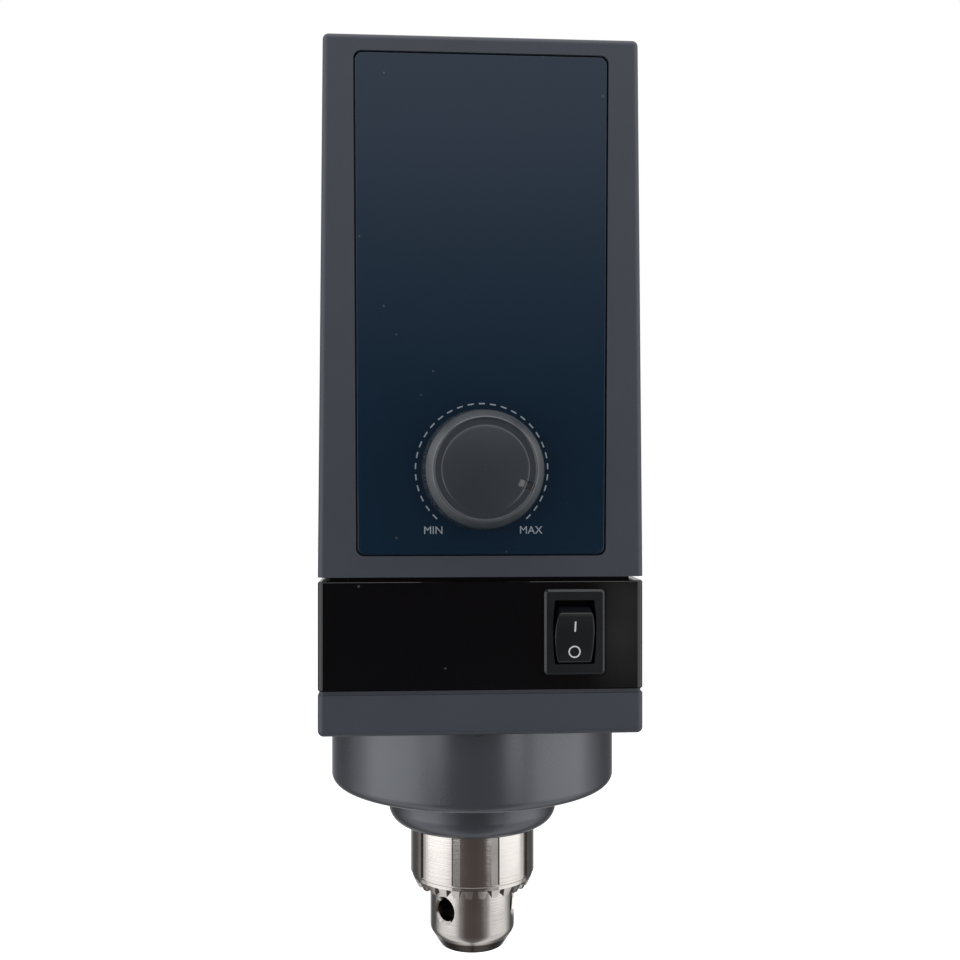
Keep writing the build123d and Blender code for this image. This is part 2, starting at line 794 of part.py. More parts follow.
def make_chuck_body():
    """Chuck body with a shaft bore, three slanted jaw holes and three key pilot holes."""
    neck_bottom = sleeve_bottom + sleeve_lip - nut_end_play
    neck_top = neck_bottom + nut_height + 2 * nut_end_play
    upper_radius = nut_outer_radius - sleeve_running_clearance
    body = turned(
        (0, 0),
        (mouth_face_radius, 0),
        (chuck_body_radius, mouth_cone_height),
        (chuck_body_radius, neck_bottom),
        (neck_radius, neck_bottom),
        (neck_radius, neck_top),
        (upper_radius, neck_top),
        (upper_radius, chuck_length),
        (0, chuck_length),
    )
    circles = body.edges().filter_by(GeomType.CIRCLE)
    cone_edge = circles.sort_by(lambda edge: abs(edge.center().Z - mouth_cone_height))[0]
    body = fillet([cone_edge], mouth_cone_round)
    body -= cylinder(shaft_bore_radius, -1, shaft_bore_depth)
    nose_hole_bottom = chuck_length - screw_nose_length - hole_rest
    body -= cylinder(screw_nose_radius + screw_clearance, nose_hole_bottom, chuck_length + 1)
    round_fall = chuck_body_radius - sqrt(chuck_body_radius ** 2 - key_hole_radius ** 2)
    rim_start = chuck_body_radius - round_fall - key_hole_chamfer
    rim_height = 2 * key_hole_chamfer + round_fall
    for index in range(jaw_count):
        hole = jaw_cylinder(jaw_radius + jaw_running_clearance, -1, chuck_length + 1)
        body -= jaw_frame(index) * hole
        pilot = Cylinder(key_hole_radius, chuck_body_radius, align=(Align.CENTER, Align.CENTER, Align.MIN))
        rim = Cone(key_hole_radius, key_hole_radius + rim_height, rim_height,
                   align=(Align.CENTER, Align.CENTER, Align.MIN))
        drilled = Pos(key_hole_floor_radius, 0, key_hole_height) * Rot(0, 90, 0) * pilot
        drilled += Pos(rim_start, 0, key_hole_height) * Rot(0, 90, 0) * rim
        body -= from_front(key_hole_angle + 360 / jaw_count * index) * drilled
    return body


def make_chuck_jaw(index):
    """One jaw in its open place, with a flat gripping face and a three-way wedge."""
    jaw = jaw_cylinder(jaw_radius, jaw_tip_height, jaw_top_height)
    jaw &= cylinder(nut_outer_radius - sleeve_running_clearance - jaw_back_sink, 0, chuck_length)
    apex = jaw_open_radius - jaw_closed_radius + jaw_wedge_clearance
    reach = 2 * nut_outer_radius
    spread = reach * tan(radians(180 / jaw_count))
    wedge = Polygon((apex, 0), (apex + reach, -spread), (apex + reach, spread), align=None)
    jaw &= extrude(wedge, chuck_length)
    jaw &= block(jaw_open_radius, reach, -reach, reach, 0, chuck_length)
    return jaw_frame(index) * jaw


def make_chuck_nut():
    """Split nut that drives the jaws, cone-bored to their slant."""
    low = sleeve_bottom + sleeve_lip
    high = low + nut_height
    reach = jaw_radius / cos(radians(jaw_tilt)) + jaw_thread_clearance
    low_radius = jaw_axis_radius(low) + reach
    high_radius = jaw_axis_radius(high) + reach
    nut = turned((low_radius, low), (nut_outer_radius, low), (nut_outer_radius, high), (high_radius, high))
    return nut - block(-sleeve_radius, sleeve_radius, -nut_split / 2, nut_split / 2, low - 1, high + 1)


def make_chuck_sleeve():
    """Fluted sleeve with a ring of bevel teeth round its lower end."""
    ring_top = sleeve_bottom + tooth_ring_height
    root = ring_top - step_groove_height
    sleeve = turned(
        (chuck_body_radius + sleeve_running_clearance, sleeve_bottom + sleeve_face_rise),
        (tooth_tip_radius, sleeve_bottom),
        (tooth_ring_radius, sleeve_bottom + tooth_height),
        (tooth_ring_radius, root),
        (tooth_ring_radius, ring_top),
        (sleeve_radius, ring_top),
        (sleeve_radius, sleeve_top - sleeve_top_chamfer),
        (sleeve_radius - sleeve_top_chamfer, sleeve_top),
        (nut_outer_radius, sleeve_top),
        (nut_outer_radius, sleeve_bottom + sleeve_lip),
        (chuck_body_radius + sleeve_running_clearance, sleeve_bottom + sleeve_lip),
    )
    flutes = []
    floor = sqrt(tooth_ring_radius ** 2 - (flute_width / 2) ** 2)
    for index in range(flute_count):
        groove = block(floor, sleeve_radius + 1, -flute_width / 2, flute_width / 2,
                       sleeve_bottom - 1, sleeve_top + 1)
        flutes.append(from_front(flute_first_angle + 360 / flute_count * index) * groove)
    step_groove = tube(sleeve_radius + 1, tooth_ring_radius - step_groove_depth, root, ring_top)
    sleeve -= step_groove - flutes
    sleeve -= flutes
    gap_top = tooth_gap_root / 2
    gap_bottom = tooth_gap_tip / 2
    low = sleeve_bottom - tooth_gap_lead
    section = Polygon((-gap_bottom, low), (gap_bottom, low), (gap_top, sleeve_bottom + tooth_height),
                      (-gap_top, sleeve_bottom + tooth_height), align=None)
    gap = extrude(Plane.YZ * section, sleeve_radius + 1)
    gaps = [from_front(360 / tooth_count * index) * gap for index in range(tooth_count)]
    return sleeve - gaps


# Spindle and bearings
lower_bearing_bottom = web_top
upper_bearing_bottom = lower_bearing_bottom + bearing_width + bearing_spacing
upper_bearing_top = upper_bearing_bottom + bearing_width
spindle_top = upper_bearing_top + spindle_top_length
coupling_bottom = upper_bearing_top + coupling_lift
coupling_top = coupling_bottom + 2 * coupling_hub_height + coupling_jaw_height


def make_spindle():
    """Output shaft with a screw nose for the chuck, a flange and two bearing seats."""
    shaft = turned(
        (0, chuck_length - screw_nose_length),
        (screw_nose_radius, chuck_length - screw_nose_length),
        (screw_nose_radius, chuck_length),
        (spindle_flange_radius, chuck_length),
        (spindle_flange_radius, lower_bearing_bottom),
        (spindle_radius, lower_bearing_bottom),
        (spindle_radius, upper_bearing_top),
        (spindle_top_radius, upper_bearing_top),
        (spindle_top_radius, spindle_top),
        (0, spindle_top),
    )
    groove_floor = spindle_top_radius - circlip_groove
    groove_top = upper_bearing_top + circlip_thickness
    return shaft - tube(spindle_radius + 1, groove_floor, upper_bearing_top, groove_top)


def bearing_levels():
    """The undersides of the two bearings."""
    return (lower_bearing_bottom, upper_bearing_bottom)


def make_bearing_outer_rings():
    """The two outer rings, each with its pair of seals."""
    rings = []
    inner_ring_radius = spindle_radius + bearing_ring_wall
    race = bearing_outer_radius - bearing_ring_wall
    for low in bearing_levels():
        high = low + bearing_width
        ring = tube(bearing_outer_radius, race, low, high)
        seal = inner_ring_radius + bearing_seal_clearance
        ring += tube(race + merge, seal, low + bearing_seal_inset, low + 2 * bearing_seal_inset)
        ring += tube(race + merge, seal, high - 2 * bearing_seal_inset, high - bearing_seal_inset)
        rings.append(ring)
    return Compound(rings)


def make_bearing_inner_rings():
    """The two inner rings on the spindle."""
    outer = spindle_radius + bearing_ring_wall
    inner = spindle_radius + bearing_seat_clearance
    return Compound([tube(outer, inner, low, low + bearing_width) for low in bearing_levels()])


def make_bearing_spacer():
    """Tube between the two inner rings."""
    inner = spindle_radius + bearing_seat_clearance
    return tube(inner + spacer_wall, inner, lower_bearing_bottom + bearing_width, upper_bearing_bottom)


def make_spindle_circlip():
    """Open ring in the spindle's groove, on the upper inner ring."""
    low = upper_bearing_top
    ring = tube(circlip_radius, spindle_top_radius - circlip_groove, low, low + circlip_thickness)
    half = circlip_gap / 2
    return ring - block(0, circlip_radius + 1, -half, half, low - 1, low + circlip_thickness + 1)


def make_bearing_retainer():
    """Plate that holds the upper outer ring in the hub."""
    inner = bearing_outer_radius - bearing_ring_wall
    plate = tube(retainer_radius, inner, hub_top, hub_top + retainer_thickness)
    for x, y in retainer_screw_places():
        plate -= cylinder(screw_m3[0] + screw_clearance, hub_top - 1,
                          hub_top + retainer_thickness + 1, x, y)
    return plate


# Coupling
def coupling_sector(angle, inner, outer, low, high):
    """A block between two radii and two rays, centred on +X."""
    half = radians(angle / 2)
    far = 1.2 * outer
    spread = far * tan(half)
    rays = Polygon((0, 0), (far, -spread), (far, spread), align=None)
    wedge = extrude(Pos(0, 0, low) * rays, high - low)
    return wedge & tube(outer, inner, low, high)


def make_coupling_hub(low, high, jaw_low, jaw_high, bore, first_angle):
    """One coupling hub with three jaws."""
    hub = tube(coupling_radius, bore + coupling_bore_clearance, low, high)
    inner = coupling_core_radius + coupling_jaw_inset
    outer = coupling_radius - coupling_jaw_inset
    jaw = coupling_sector(coupling_jaw_angle, inner, outer, jaw_low, jaw_high)
    for index in range(3):
        hub += Rot(0, 0, first_angle + 120 * index) * jaw
    return hub


def make_coupling_lower():
    """Coupling hub on the spindle."""
    high = coupling_bottom + coupling_hub_height
    jaw_high = high + coupling_jaw_height - coupling_end_gap
    return make_coupling_hub(coupling_bottom, high, high - merge, jaw_high, spindle_top_radius, 0)


def make_coupling_upper():
    """Coupling hub on the motor's shaft."""
    low = coupling_top - coupling_hub_height
    jaw_low = low - coupling_jaw_height + coupling_end_gap
    return make_coupling_hub(low, coupling_top, jaw_low, low + merge, motor_shaft_radius, 60)


def make_coupling_spider():
    """Soft six-armed star between the hubs' jaws."""
    low = coupling_bottom + coupling_hub_height
    high = low + coupling_jaw_height
    star = cylinder(coupling_core_radius, low, high)
    lobe = coupling_sector(coupling_lobe_angle, coupling_core_radius - merge, coupling_lobe_radius, low, high)
    for index in range(6):
        star += Rot(0, 0, 30 + 60 * index) * lobe
    return star - cylinder(spindle_top_radius + hub_clearance, low - 1, high + 1)


# Motor
can_top = plate_top + motor_length
bell_top = can_top + bell_thickness
lower_bush_bottom = plate_bottom
upper_bush_top = bell_top + bell_boss_height
motor_shaft_bottom = coupling_top - coupling_hub_height
bush_seat_radius = motor_bush_radius + bearing_seat_clearance
shaft_seat_radius = motor_shaft_radius + bearing_seat_clearance
brush_middle = plate_top + commutator_lift + commutator_length / 2


def make_motor_plate():
    """Plate that carries the motor and the rod block."""
    plate = block(-motor_plate_half_width, motor_plate_half_width, -motor_plate_front, motor_plate_back,
                  plate_bottom, plate_top)
    plate = fillet(plate.edges().filter_by(Axis.Z), motor_plate_corner)
    plate -= cylinder(motor_boss_radius + hub_clearance, plate_bottom - 1, plate_top + 1)
    for x, y in post_places():
        plate -= cylinder(screw_m4[0] + screw_clearance, plate_bottom - 1, plate_top + 1, x, y)
    for x, y in motor_screw_places():
        plate -= cylinder(screw_m4[0] + screw_clearance, plate_bottom - 1, plate_top + 1, x, y)
    for x in (-block_screw_x, block_screw_x):
        plate -= cylinder(screw_m5[0] + screw_clearance, plate_bottom - 1, plate_top + 1, x, block_screw_y)
    return plate


def motor_screw_places():
    """Four screws between the motor and its plate, on the diagonals."""
    reach = motor_screw_circle * cos(radians(45))
    return [(x, y) for x in (-reach, reach) for y in (-reach, reach)]


def make_frame_posts():
    """Four posts from the base's floor to the motor plate."""
    posts = []
    for x, y in post_places():
        post = cylinder(post_radius, floor_top, plate_bottom, x, y)
        post += cylinder(post_spigot_radius, floor_top - post_spigot_length, floor_top + 1, x, y)
        post -= cylinder(screw_m4[0] + screw_clearance, plate_bottom - post_screw_grip - hole_rest,
                         plate_bottom + 1, x, y)
        posts.append(post)
    return Compound(posts)


def make_motor_can():
    """Steel can of the motor, with a boss that centres it in its plate."""
    can = cylinder(motor_radius, plate_top, can_top)
    can = fillet(can.edges().group_by(Axis.Z)[0], motor_edge)
    can -= cylinder(motor_radius - motor_wall, plate_top + motor_base, can_top + 1)
    can += cylinder(motor_boss_radius, lower_bush_bottom, plate_top + motor_base)
    can -= cylinder(bush_seat_radius, lower_bush_bottom - 1, plate_top + motor_base + 1)
    for x, y in motor_screw_places():
        can -= cylinder(screw_m4[0] + screw_clearance, plate_top - 1, plate_top + motor_base + 1, x, y)
    return can


def make_motor_magnets():
    """Two arc magnets inside the can."""
    outer = motor_radius - motor_wall - bearing_seat_clearance
    low = plate_top + magnet_lift
    arc = coupling_sector(magnet_angle, outer - magnet_thickness, outer, low, low + magnet_length)
    return Compound([arc, Rot(0, 0, 180) * arc])


def slot_bars(width, inner, outer, low, high):
    """Radial bars at the armature's slots."""
    bar = block(inner, outer, -width / 2, width / 2, low, high)
    return [Rot(0, 0, 360 / core_slots * index) * bar for index in range(core_slots)]


def core_radius():
    """The armature's radius, inside the magnets by the air gap."""
    return motor_radius - motor_wall - magnet_thickness - air_gap


def make_motor_armature():
    """Slotted iron core on the motor's shaft."""
    low = plate_top + core_lift
    high = low + core_length
    core = tube(core_radius(), shaft_seat_radius, low, high)
    return core - slot_bars(core_slot_width, core_slot_floor, core_radius() + 1, low - 1, high + 1)


def make_armature_windings():
    """Copper coils in the slots, with their end turns."""
    low = plate_top + core_lift
    high = low + core_length
    inner = motor_shaft_radius + coil_end_clearance
    coils = tube(coil_end_radius, inner, high, high + coil_end_height)
    coils += tube(coil_end_radius, inner, low - coil_end_height, low)
    width = core_slot_width - 2 * coil_slot_gap
    floor = core_slot_floor + coil_slot_gap
    bars = slot_bars(width, floor, core_radius() - 1, low - merge, high + merge)
    return coils + bars


def make_motor_shaft():
    """Steel shaft from the coupling to the end bell."""
    return cylinder(motor_shaft_radius, motor_shaft_bottom, upper_bush_top)


def make_motor_commutator():
    """Copper commutator above the coils."""
    low = plate_top + commutator_lift
    return tube(commutator_radius, shaft_seat_radius, low, low + commutator_length)


def make_carbon_brushes():
    """Two brushes that bear on the commutator."""
    start = commutator_radius + brush_clearance
    half = brush_side / 2
    brush = block(start, start + brush_length, -half, half, brush_middle - half, brush_middle + half)
    return Compound([brush, Rot(0, 0, 180) * brush])


def make_motor_end_bell():
    """Upper end of the motor, with the brush holders and the upper bush's seat."""
    bell = cylinder(motor_radius, can_top, bell_top) + cylinder(bell_boss_radius, can_top, upper_bush_top)
    bell = fillet(bell.edges().group_by(Axis.Z)[-1], motor_edge)
    register = motor_radius - motor_wall - hub_clearance
    bell += tube(register, register - motor_wall, can_top - bell_register, can_top + 1)
    half = brush_side / 2 + screw_clearance
    outer = half + brush_holder_wall
    for turn in (0, 180):
        holder = block(brush_holder_start, brush_holder_end, -outer, outer, brush_middle - outer, can_top + 1)
        holder -= block(0, motor_radius, -half, half, brush_middle - half, brush_middle + half)
        bell += Rot(0, 0, turn) * holder
    bell -= cylinder(bush_seat_radius, upper_bush_top - motor_bush_length, upper_bush_top + 1)
    return bell - cylinder(motor_shaft_radius + bell_hole_clearance, can_top - 1, upper_bush_top + 1)


def make_motor_bushes():
    """The two plain bushes of the motor's shaft."""
    inner = motor_shaft_radius + bush_running_clearance
    lower = tube(motor_bush_radius, inner, lower_bush_bottom, lower_bush_bottom + motor_bush_length)
    upper = tube(motor_bush_radius, inner, upper_bush_top - motor_bush_length, upper_bush_top)
    return Compound([lower, upper])


# Stand rod
def make_rod_block():
    """Block on the motor plate that the stand rod screws into."""
    piece = block(-rod_block_half_width, rod_block_half_width, rod_block_front, shell_back,
                  plate_top, plate_top + rod_block_height)
    piece = fillet(piece.edges().filter_by(Axis.Y).group_by(Axis.Z)[-1], rod_block_edge)
    rod_hole = cylinder(rod_shank_radius + rod_bore_clearance, -rod_shank_in_block - hole_rest, 1)
    piece -= facing_back(0, shell_back, rod_z) * rod_hole
    block_top = plate_top + rod_block_height
    piece -= cylinder(set_screw_radius + screw_clearance, rod_z, block_top + 1, 0, set_screw_y)
    for x in (-block_screw_x, block_screw_x):
        piece -= cylinder(screw_m5[0] + screw_clearance, plate_top - 1,
                          plate_top + block_screw_grip + hole_rest, x, block_screw_y)
    return piece


def make_support_rod():
    """Stand rod with a thinner screwed shank, seated on the rear cover."""
    rod = cylinder(rod_radius, 0, rod_length)
    rod = chamfer(rod.edges().group_by(Axis.Z)[-1], rod_end_chamfer)
    rod += cylinder(rod_shank_radius, -cover_thickness - rod_shank_in_block, 1)
    return facing_back(0, back, rod_z) * rod


def make_rod_set_screw():
    """Grub screw that locks the rod in its block."""
    low = rod_z + rod_shank_radius
    high = plate_top + rod_block_height - set_screw_sink
    screw = cylinder(set_screw_radius, low, high, 0, set_screw_y)
    hexagon = RegularPolygon(set_screw_radius * socket_share, 6)
    socket = extrude(Pos(0, set_screw_y, high) * hexagon, -set_screw_socket_depth)
    return screw - socket


# Electronics
board_back = shell_back - board_standoff
board_front = board_back - board_thickness
board_high = shell_top - board_below_top
board_low = board_high - board_height


def make_control_board():
    """Circuit board on the rear cover's pillars."""
    board = block(-board_width / 2, board_width / 2, board_front, board_back, board_low, board_high)
    for x, z in board_hole_places():
        hole = cylinder(screw_m3[0] + screw_clearance, -1, board_thickness + 1)
        board -= facing_front(x, board_back, z) * hole
    return board


def make_capacitors():
    """Two smoothing capacitors above the motor."""
    cans = []
    for x in (-capacitor_x, capacitor_x):
        can = cylinder(capacitor_radius, 0, capacitor_length)
        can = fillet(can.edges().group_by(Axis.Z)[-1], capacitor_edge)
        cans.append(facing_front(x, board_front, board_high - capacitor_drop) * can)
    return Compound(cans)


def make_driver_heatsink():
    """Finned heat sink of the motor driver."""
    low = board_low + heatsink_lift
    half = heatsink_width / 2
    sink = block(-half, half, board_front - heatsink_base, board_front, low, low + heatsink_height)
    pitch = (heatsink_width - heatsink_fin_thickness) / (heatsink_fins - 1)
    for index in range(heatsink_fins):
        x = -half + pitch * index
        sink += block(x, x + heatsink_fin_thickness, board_front - heatsink_depth, board_front,
                      low, low + heatsink_height)
    return sink


def make_terminal_blocks():
    """Two terminal blocks near the board's lower edge."""
    blocks = []
    for side in (-1, 1):
        x = side * terminal_block_x
        half = terminal_block_width / 2
        low = board_low + terminal_block_lift
        piece = block(x - half, x + half, board_front - terminal_block_depth, board_front,
                      low, low + terminal_block_height)
        wall = terminal_block_wall
        piece -= block(x - half + wall, x + half - wall, board_front - terminal_block_depth - 1,
                       board_front - terminal_block_depth / 2, low + wall, low + terminal_block_height - wall)
        blocks.append(piece)
    return Compound(blocks)


# Power jack
def make_power_jack():
    """Round low-voltage socket with a centre pin."""
    body = cylinder(jack_body_radius, -jack_body_length, 0)
    flange = cylinder(jack_flange_radius, 0, jack_flange_thickness)
    body += fillet(flange.edges().group_by(Axis.Z)[-1], jack_edge)
    floor = jack_flange_thickness - jack_socket_depth
    socket = cylinder(jack_socket_radius, floor, jack_flange_thickness + 1)
    pin_top = jack_flange_thickness - jack_pin_sink
    body -= socket - cylinder(jack_pin_radius, -jack_body_length, pin_top)
    return facing_back(jack_x, back, band_mid) * body


def make_jack_nut():
    """Hexagon nut inside the band."""
    nut = extrude(RegularPolygon(jack_nut_flats / 2, 6, major_radius=False), -jack_nut_height)
    nut -= cylinder(jack_body_radius + screw_clearance, -jack_nut_height - 1, 1)
    return facing_back(jack_x, back - casing_wall, band_mid) * nut


# Fasteners
def make_nose_screws():
    """Four screws from the base's floor into the nose."""
    screw = cap_screw(screw_m4, base_floor + nose_screw_grip)
    return Compound([Pos(x, y, floor_top) * screw for x, y in nose_screw_places()])


def make_retainer_screws():
    """Three screws of the bearing retainer."""
    screw = cap_screw(screw_m3, retainer_thickness + retainer_screw_grip)
    return Compound([Pos(x, y, hub_top + retainer_thickness) * screw for x, y in retainer_screw_places()])


def make_post_screws():
    """Four screws from the motor plate into the posts."""
    screw = cap_screw(screw_m4, motor_plate_thickness + post_screw_grip)
    return Compound([Pos(x, y, plate_top) * screw for x, y in post_places()])


def make_motor_screws():
    """Four screws from below the plate into the motor's base."""
    screw = Rot(180, 0, 0) * cap_screw(screw_m4, motor_plate_thickness + motor_base - screw_end_gap)
    return Compound([Pos(x, y, plate_bottom) * screw for x, y in motor_screw_places()])


def make_block_screws():
    """Two screws from below the plate into the rod block."""
    screw = Rot(180, 0, 0) * cap_screw(screw_m5, motor_plate_thickness + block_screw_grip)
    places = (-block_screw_x, block_screw_x)
    return Compound([Pos(x, block_screw_y, plate_bottom) * screw for x in places])


def make_cover_screws():
    """Four screws of the rear cover."""
    screw = cap_screw(screw_m3, cover_thickness + cover_screw_grip)
    return Compound([facing_back(x, back, z) * screw for x, z in cover_screw_places()])


def make_board_screws():
    """Four screws of the control board."""
    screw = cap_screw(screw_m3, board_thickness + board_standoff - screw_end_gap)
    return Compound([facing_front(x, board_front, z) * screw for x, z in board_hole_places()])


nodes = {
    "upper_shell": make_upper_shell(),
    "front_panel": make_front_panel(),
    "trim_band": make_trim_band(),
    "base_ring": make_base_ring(),
    "nose_housing": make_nose_housing(),
    "rear_cover": make_rear_cover(),
    "speed_knob": make_speed_knob(),
    "potentiometer": make_potentiometer(),
    "pot_shaft": make_pot_shaft(),
    "pot_nut": make_pot_nut(),
    "switch_housing": make_switch_housing(),
    "rocker": make_rocker(),
    "switch_terminals": make_switch_terminals(),
    "chuck_body": make_chuck_body(),
    "chuck_sleeve": make_chuck_sleeve(),
    "chuck_nut": make_chuck_nut(),
    "spindle": make_spindle(),
    "spindle_circlip": make_spindle_circlip(),
    "bearing_outer_rings": make_bearing_outer_rings(),
    "bearing_inner_rings": make_bearing_inner_rings(),
    "bearing_spacer": make_bearing_spacer(),
    "bearing_retainer": make_bearing_retainer(),
    "coupling_lower": make_coupling_lower(),
    "coupling_upper": make_coupling_upper(),
    "coupling_spider": make_coupling_spider(),
    "motor_plate": make_motor_plate(),
    "frame_posts": make_frame_posts(),
    "motor_can": make_motor_can(),
    "motor_magnets": make_motor_magnets(),
    "motor_armature": make_motor_armature(),
    "armature_windings": make_armature_windings(),
    "motor_shaft": make_motor_shaft(),
    "motor_commutator": make_motor_commutator(),
    "carbon_brushes": make_carbon_brushes(),
    "motor_end_bell": make_motor_end_bell(),
    "motor_bushes": make_motor_bushes(),
    "rod_block": make_rod_block(),
    "support_rod": make_support_rod(),
    "rod_set_screw": make_rod_set_screw(),
    "control_board": make_control_board(),
    "capacitors": make_capacitors(),
    "driver_heatsink": make_driver_heatsink(),
    "terminal_blocks": make_terminal_blocks(),
    "power_jack": make_power_jack(),
    "jack_nut": make_jack_nut(),
    "nose_screws": make_nose_screws(),
    "retainer_screws": make_retainer_screws(),
    "post_screws": make_post_screws(),
    "motor_screws": make_motor_screws(),
    "block_screws": make_block_screws(),
    "cover_screws": make_cover_screws(),
    "board_screws": make_board_screws(),
}
for index in range(jaw_count):
    nodes[f"jaw_{index + 1}"] = make_chuck_jaw(index)

for name, solid in nodes.items():
    export_step(solid, f"parts/{name}.step")
print(len(nodes), "nodes written")
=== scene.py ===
# %% [markdown]
# # An overhead stirrer, dressed for a studio photograph
# The solids of the stirrer come in as a fixed frame: every casing, screw, bearing and jaw is already
# in its place, in metres, with +Z up and the front towards -Y. This lesson adds what a solid can't
# show: paint, gloss, turned steel, printed marks and a finer knob.

# %% Load the frame
import math

import bpy
import numpy as np
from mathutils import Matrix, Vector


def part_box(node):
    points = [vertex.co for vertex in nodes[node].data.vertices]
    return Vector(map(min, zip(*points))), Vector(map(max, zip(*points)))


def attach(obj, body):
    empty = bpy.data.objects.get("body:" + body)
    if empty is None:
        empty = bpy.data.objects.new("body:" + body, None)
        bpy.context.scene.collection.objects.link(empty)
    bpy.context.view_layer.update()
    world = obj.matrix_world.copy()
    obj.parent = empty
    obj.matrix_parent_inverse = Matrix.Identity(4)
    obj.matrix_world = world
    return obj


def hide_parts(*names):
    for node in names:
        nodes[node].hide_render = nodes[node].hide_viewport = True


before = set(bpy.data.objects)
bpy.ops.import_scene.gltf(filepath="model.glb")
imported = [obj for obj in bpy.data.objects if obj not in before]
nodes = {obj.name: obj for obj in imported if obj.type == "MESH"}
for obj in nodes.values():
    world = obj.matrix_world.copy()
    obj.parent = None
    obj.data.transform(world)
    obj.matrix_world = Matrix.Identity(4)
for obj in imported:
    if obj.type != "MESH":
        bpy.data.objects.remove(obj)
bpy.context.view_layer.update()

# %% [markdown]
# ## The camera
# The photograph was taken from close by, a little left of the stirrer and level with the speed knob,
# because the chuck's rings show as ellipses seen from above and the casing's sides fan outwards.
# A long lens far away would flatten those ellipses, so the camera stands 28 cm in front instead.

# %% Place the camera
focal_pixels = 1145.3
picture_width = 960.0
sensor_width = 36.0
camera_data = bpy.data.cameras.new("studio_camera")
camera_data.sensor_width = sensor_width
camera_data.lens = focal_pixels * sensor_width / picture_width
camera_data.clip_start = 0.01
camera_data.clip_end = 20.0
camera = bpy.data.objects.new("studio_camera", camera_data)
camera.location = (-0.01848, -0.32466, 0.12867)
camera.rotation_euler = (math.radians(90.287), 0.0, math.radians(-3.647))
bpy.context.scene.collection.objects.link(camera)
bpy.context.scene.camera = camera
bpy.context.scene.view_settings.view_transform = "Standard"
print("camera:", round(camera_data.lens, 2), "mm lens")

# %% [markdown]
# ## The studio
# Gloss and metal only look right when they have something to reflect. The world is a studio seen by
# direction: two broad bright sides, a dark strip behind each of them that gives the chuck its dark
# edges, and a brownish dark room behind the camera that brightens upwards. A small rippled window in
# front on the right gives the gloss band its one soft, upright reflection. Matt surfaces see only an
# even grey, so that a colour renders about as it is written, and the camera sees plain white.

# %% Small helpers that add and wire nodes
def add_node(tree, kind, inputs=None, **settings):
    """One shader node with its settings, and its input sockets set or linked by name or number."""
    node = tree.nodes.new(kind)
    for name, value in settings.items():
        setattr(node, name, value)
    for socket, value in (inputs or {}).items():
        if isinstance(value, bpy.types.NodeSocket):
            tree.links.new(value, node.inputs[socket])
        else:
            node.inputs[socket].default_value = value
    return node


def maths(tree, operation, *values):
    """A Math node on one, two or three values, and its output."""
    inputs = {index: value for index, value in enumerate(values)}
    return add_node(tree, "ShaderNodeMath", inputs, operation=operation).outputs[0]


def mixed(tree, factor, first, second, blend="MIX"):
    """A colour between two colours by a factor, or the two laid over each other by another blend."""
    node = add_node(tree, "ShaderNodeMix", {"Factor": factor}, data_type="RGBA", blend_type=blend)
    for socket, value in ((6, first), (7, second)):
        if isinstance(value, bpy.types.NodeSocket):
            tree.links.new(value, node.inputs[socket])
        else:
            node.inputs[socket].default_value = (*value, 1.0)
    return node.outputs[2]


def spread(tree, value, low, high, start=0.0, end=1.0):
    """A value that runs from start to end, brought to the range from low to high."""
    inputs = {"Value": value, "From Min": start, "From Max": end, "To Min": low, "To Max": high}
    return add_node(tree, "ShaderNodeMapRange", inputs).outputs[0]


def ramp(tree, factor, stops):
    """A colour ramp through stops of position and grey level or colour, and its output."""
    node = add_node(tree, "ShaderNodeValToRGB", {"Fac": factor})
    elements = node.color_ramp.elements
    while len(elements) < len(stops):
        elements.new(0.5)
    for element, (position, colour) in zip(elements, stops):
        element.position = position
        if not isinstance(colour, tuple):
            colour = (colour, colour, colour)
        element.color = (*colour, 1.0)
    return node.outputs["Color"]


# %% The world, by direction
world = bpy.data.worlds.new("studio")
bpy.context.scene.world = world
world.use_nodes = True
tree = world.node_tree
tree.nodes.clear()
white = (1.0, 1.0, 1.0)
matt_light = (0.34, 0.35, 0.37)
direction = add_node(tree, "ShaderNodeTexCoord").outputs["Generated"]
parts = add_node(tree, "ShaderNodeSeparateXYZ", {0: direction})
forward = maths(tree, "MULTIPLY", parts.outputs["Y"], -1.0)
across = maths(tree, "ABSOLUTE", parts.outputs["X"])
turn = maths(tree, "DIVIDE", maths(tree, "ARCTAN2", across, forward), math.pi)
sides = ramp(tree, turn, [
    (0.00, (0.055, 0.040, 0.033)), (0.12, (0.075, 0.058, 0.050)), (0.20, 0.26), (0.27, 0.80),
    (0.54, 0.92), (0.62, 0.45), (0.69, 0.07), (0.82, 0.07), (0.89, 0.45), (1.00, 0.70),
])
height = maths(tree, "MULTIPLY_ADD", parts.outputs["Z"], 0.5, 0.5)
rise = ramp(tree, height, [
    (0.00, 0.12), (0.46, 0.01), (0.54, 0.03), (0.60, (0.30, 0.31, 0.34)), (0.67, (0.80, 0.80, 0.86)),
    (1.00, 0.90),
])
studio_view = mixed(tree, 1.0, sides, rise, "SCREEN")

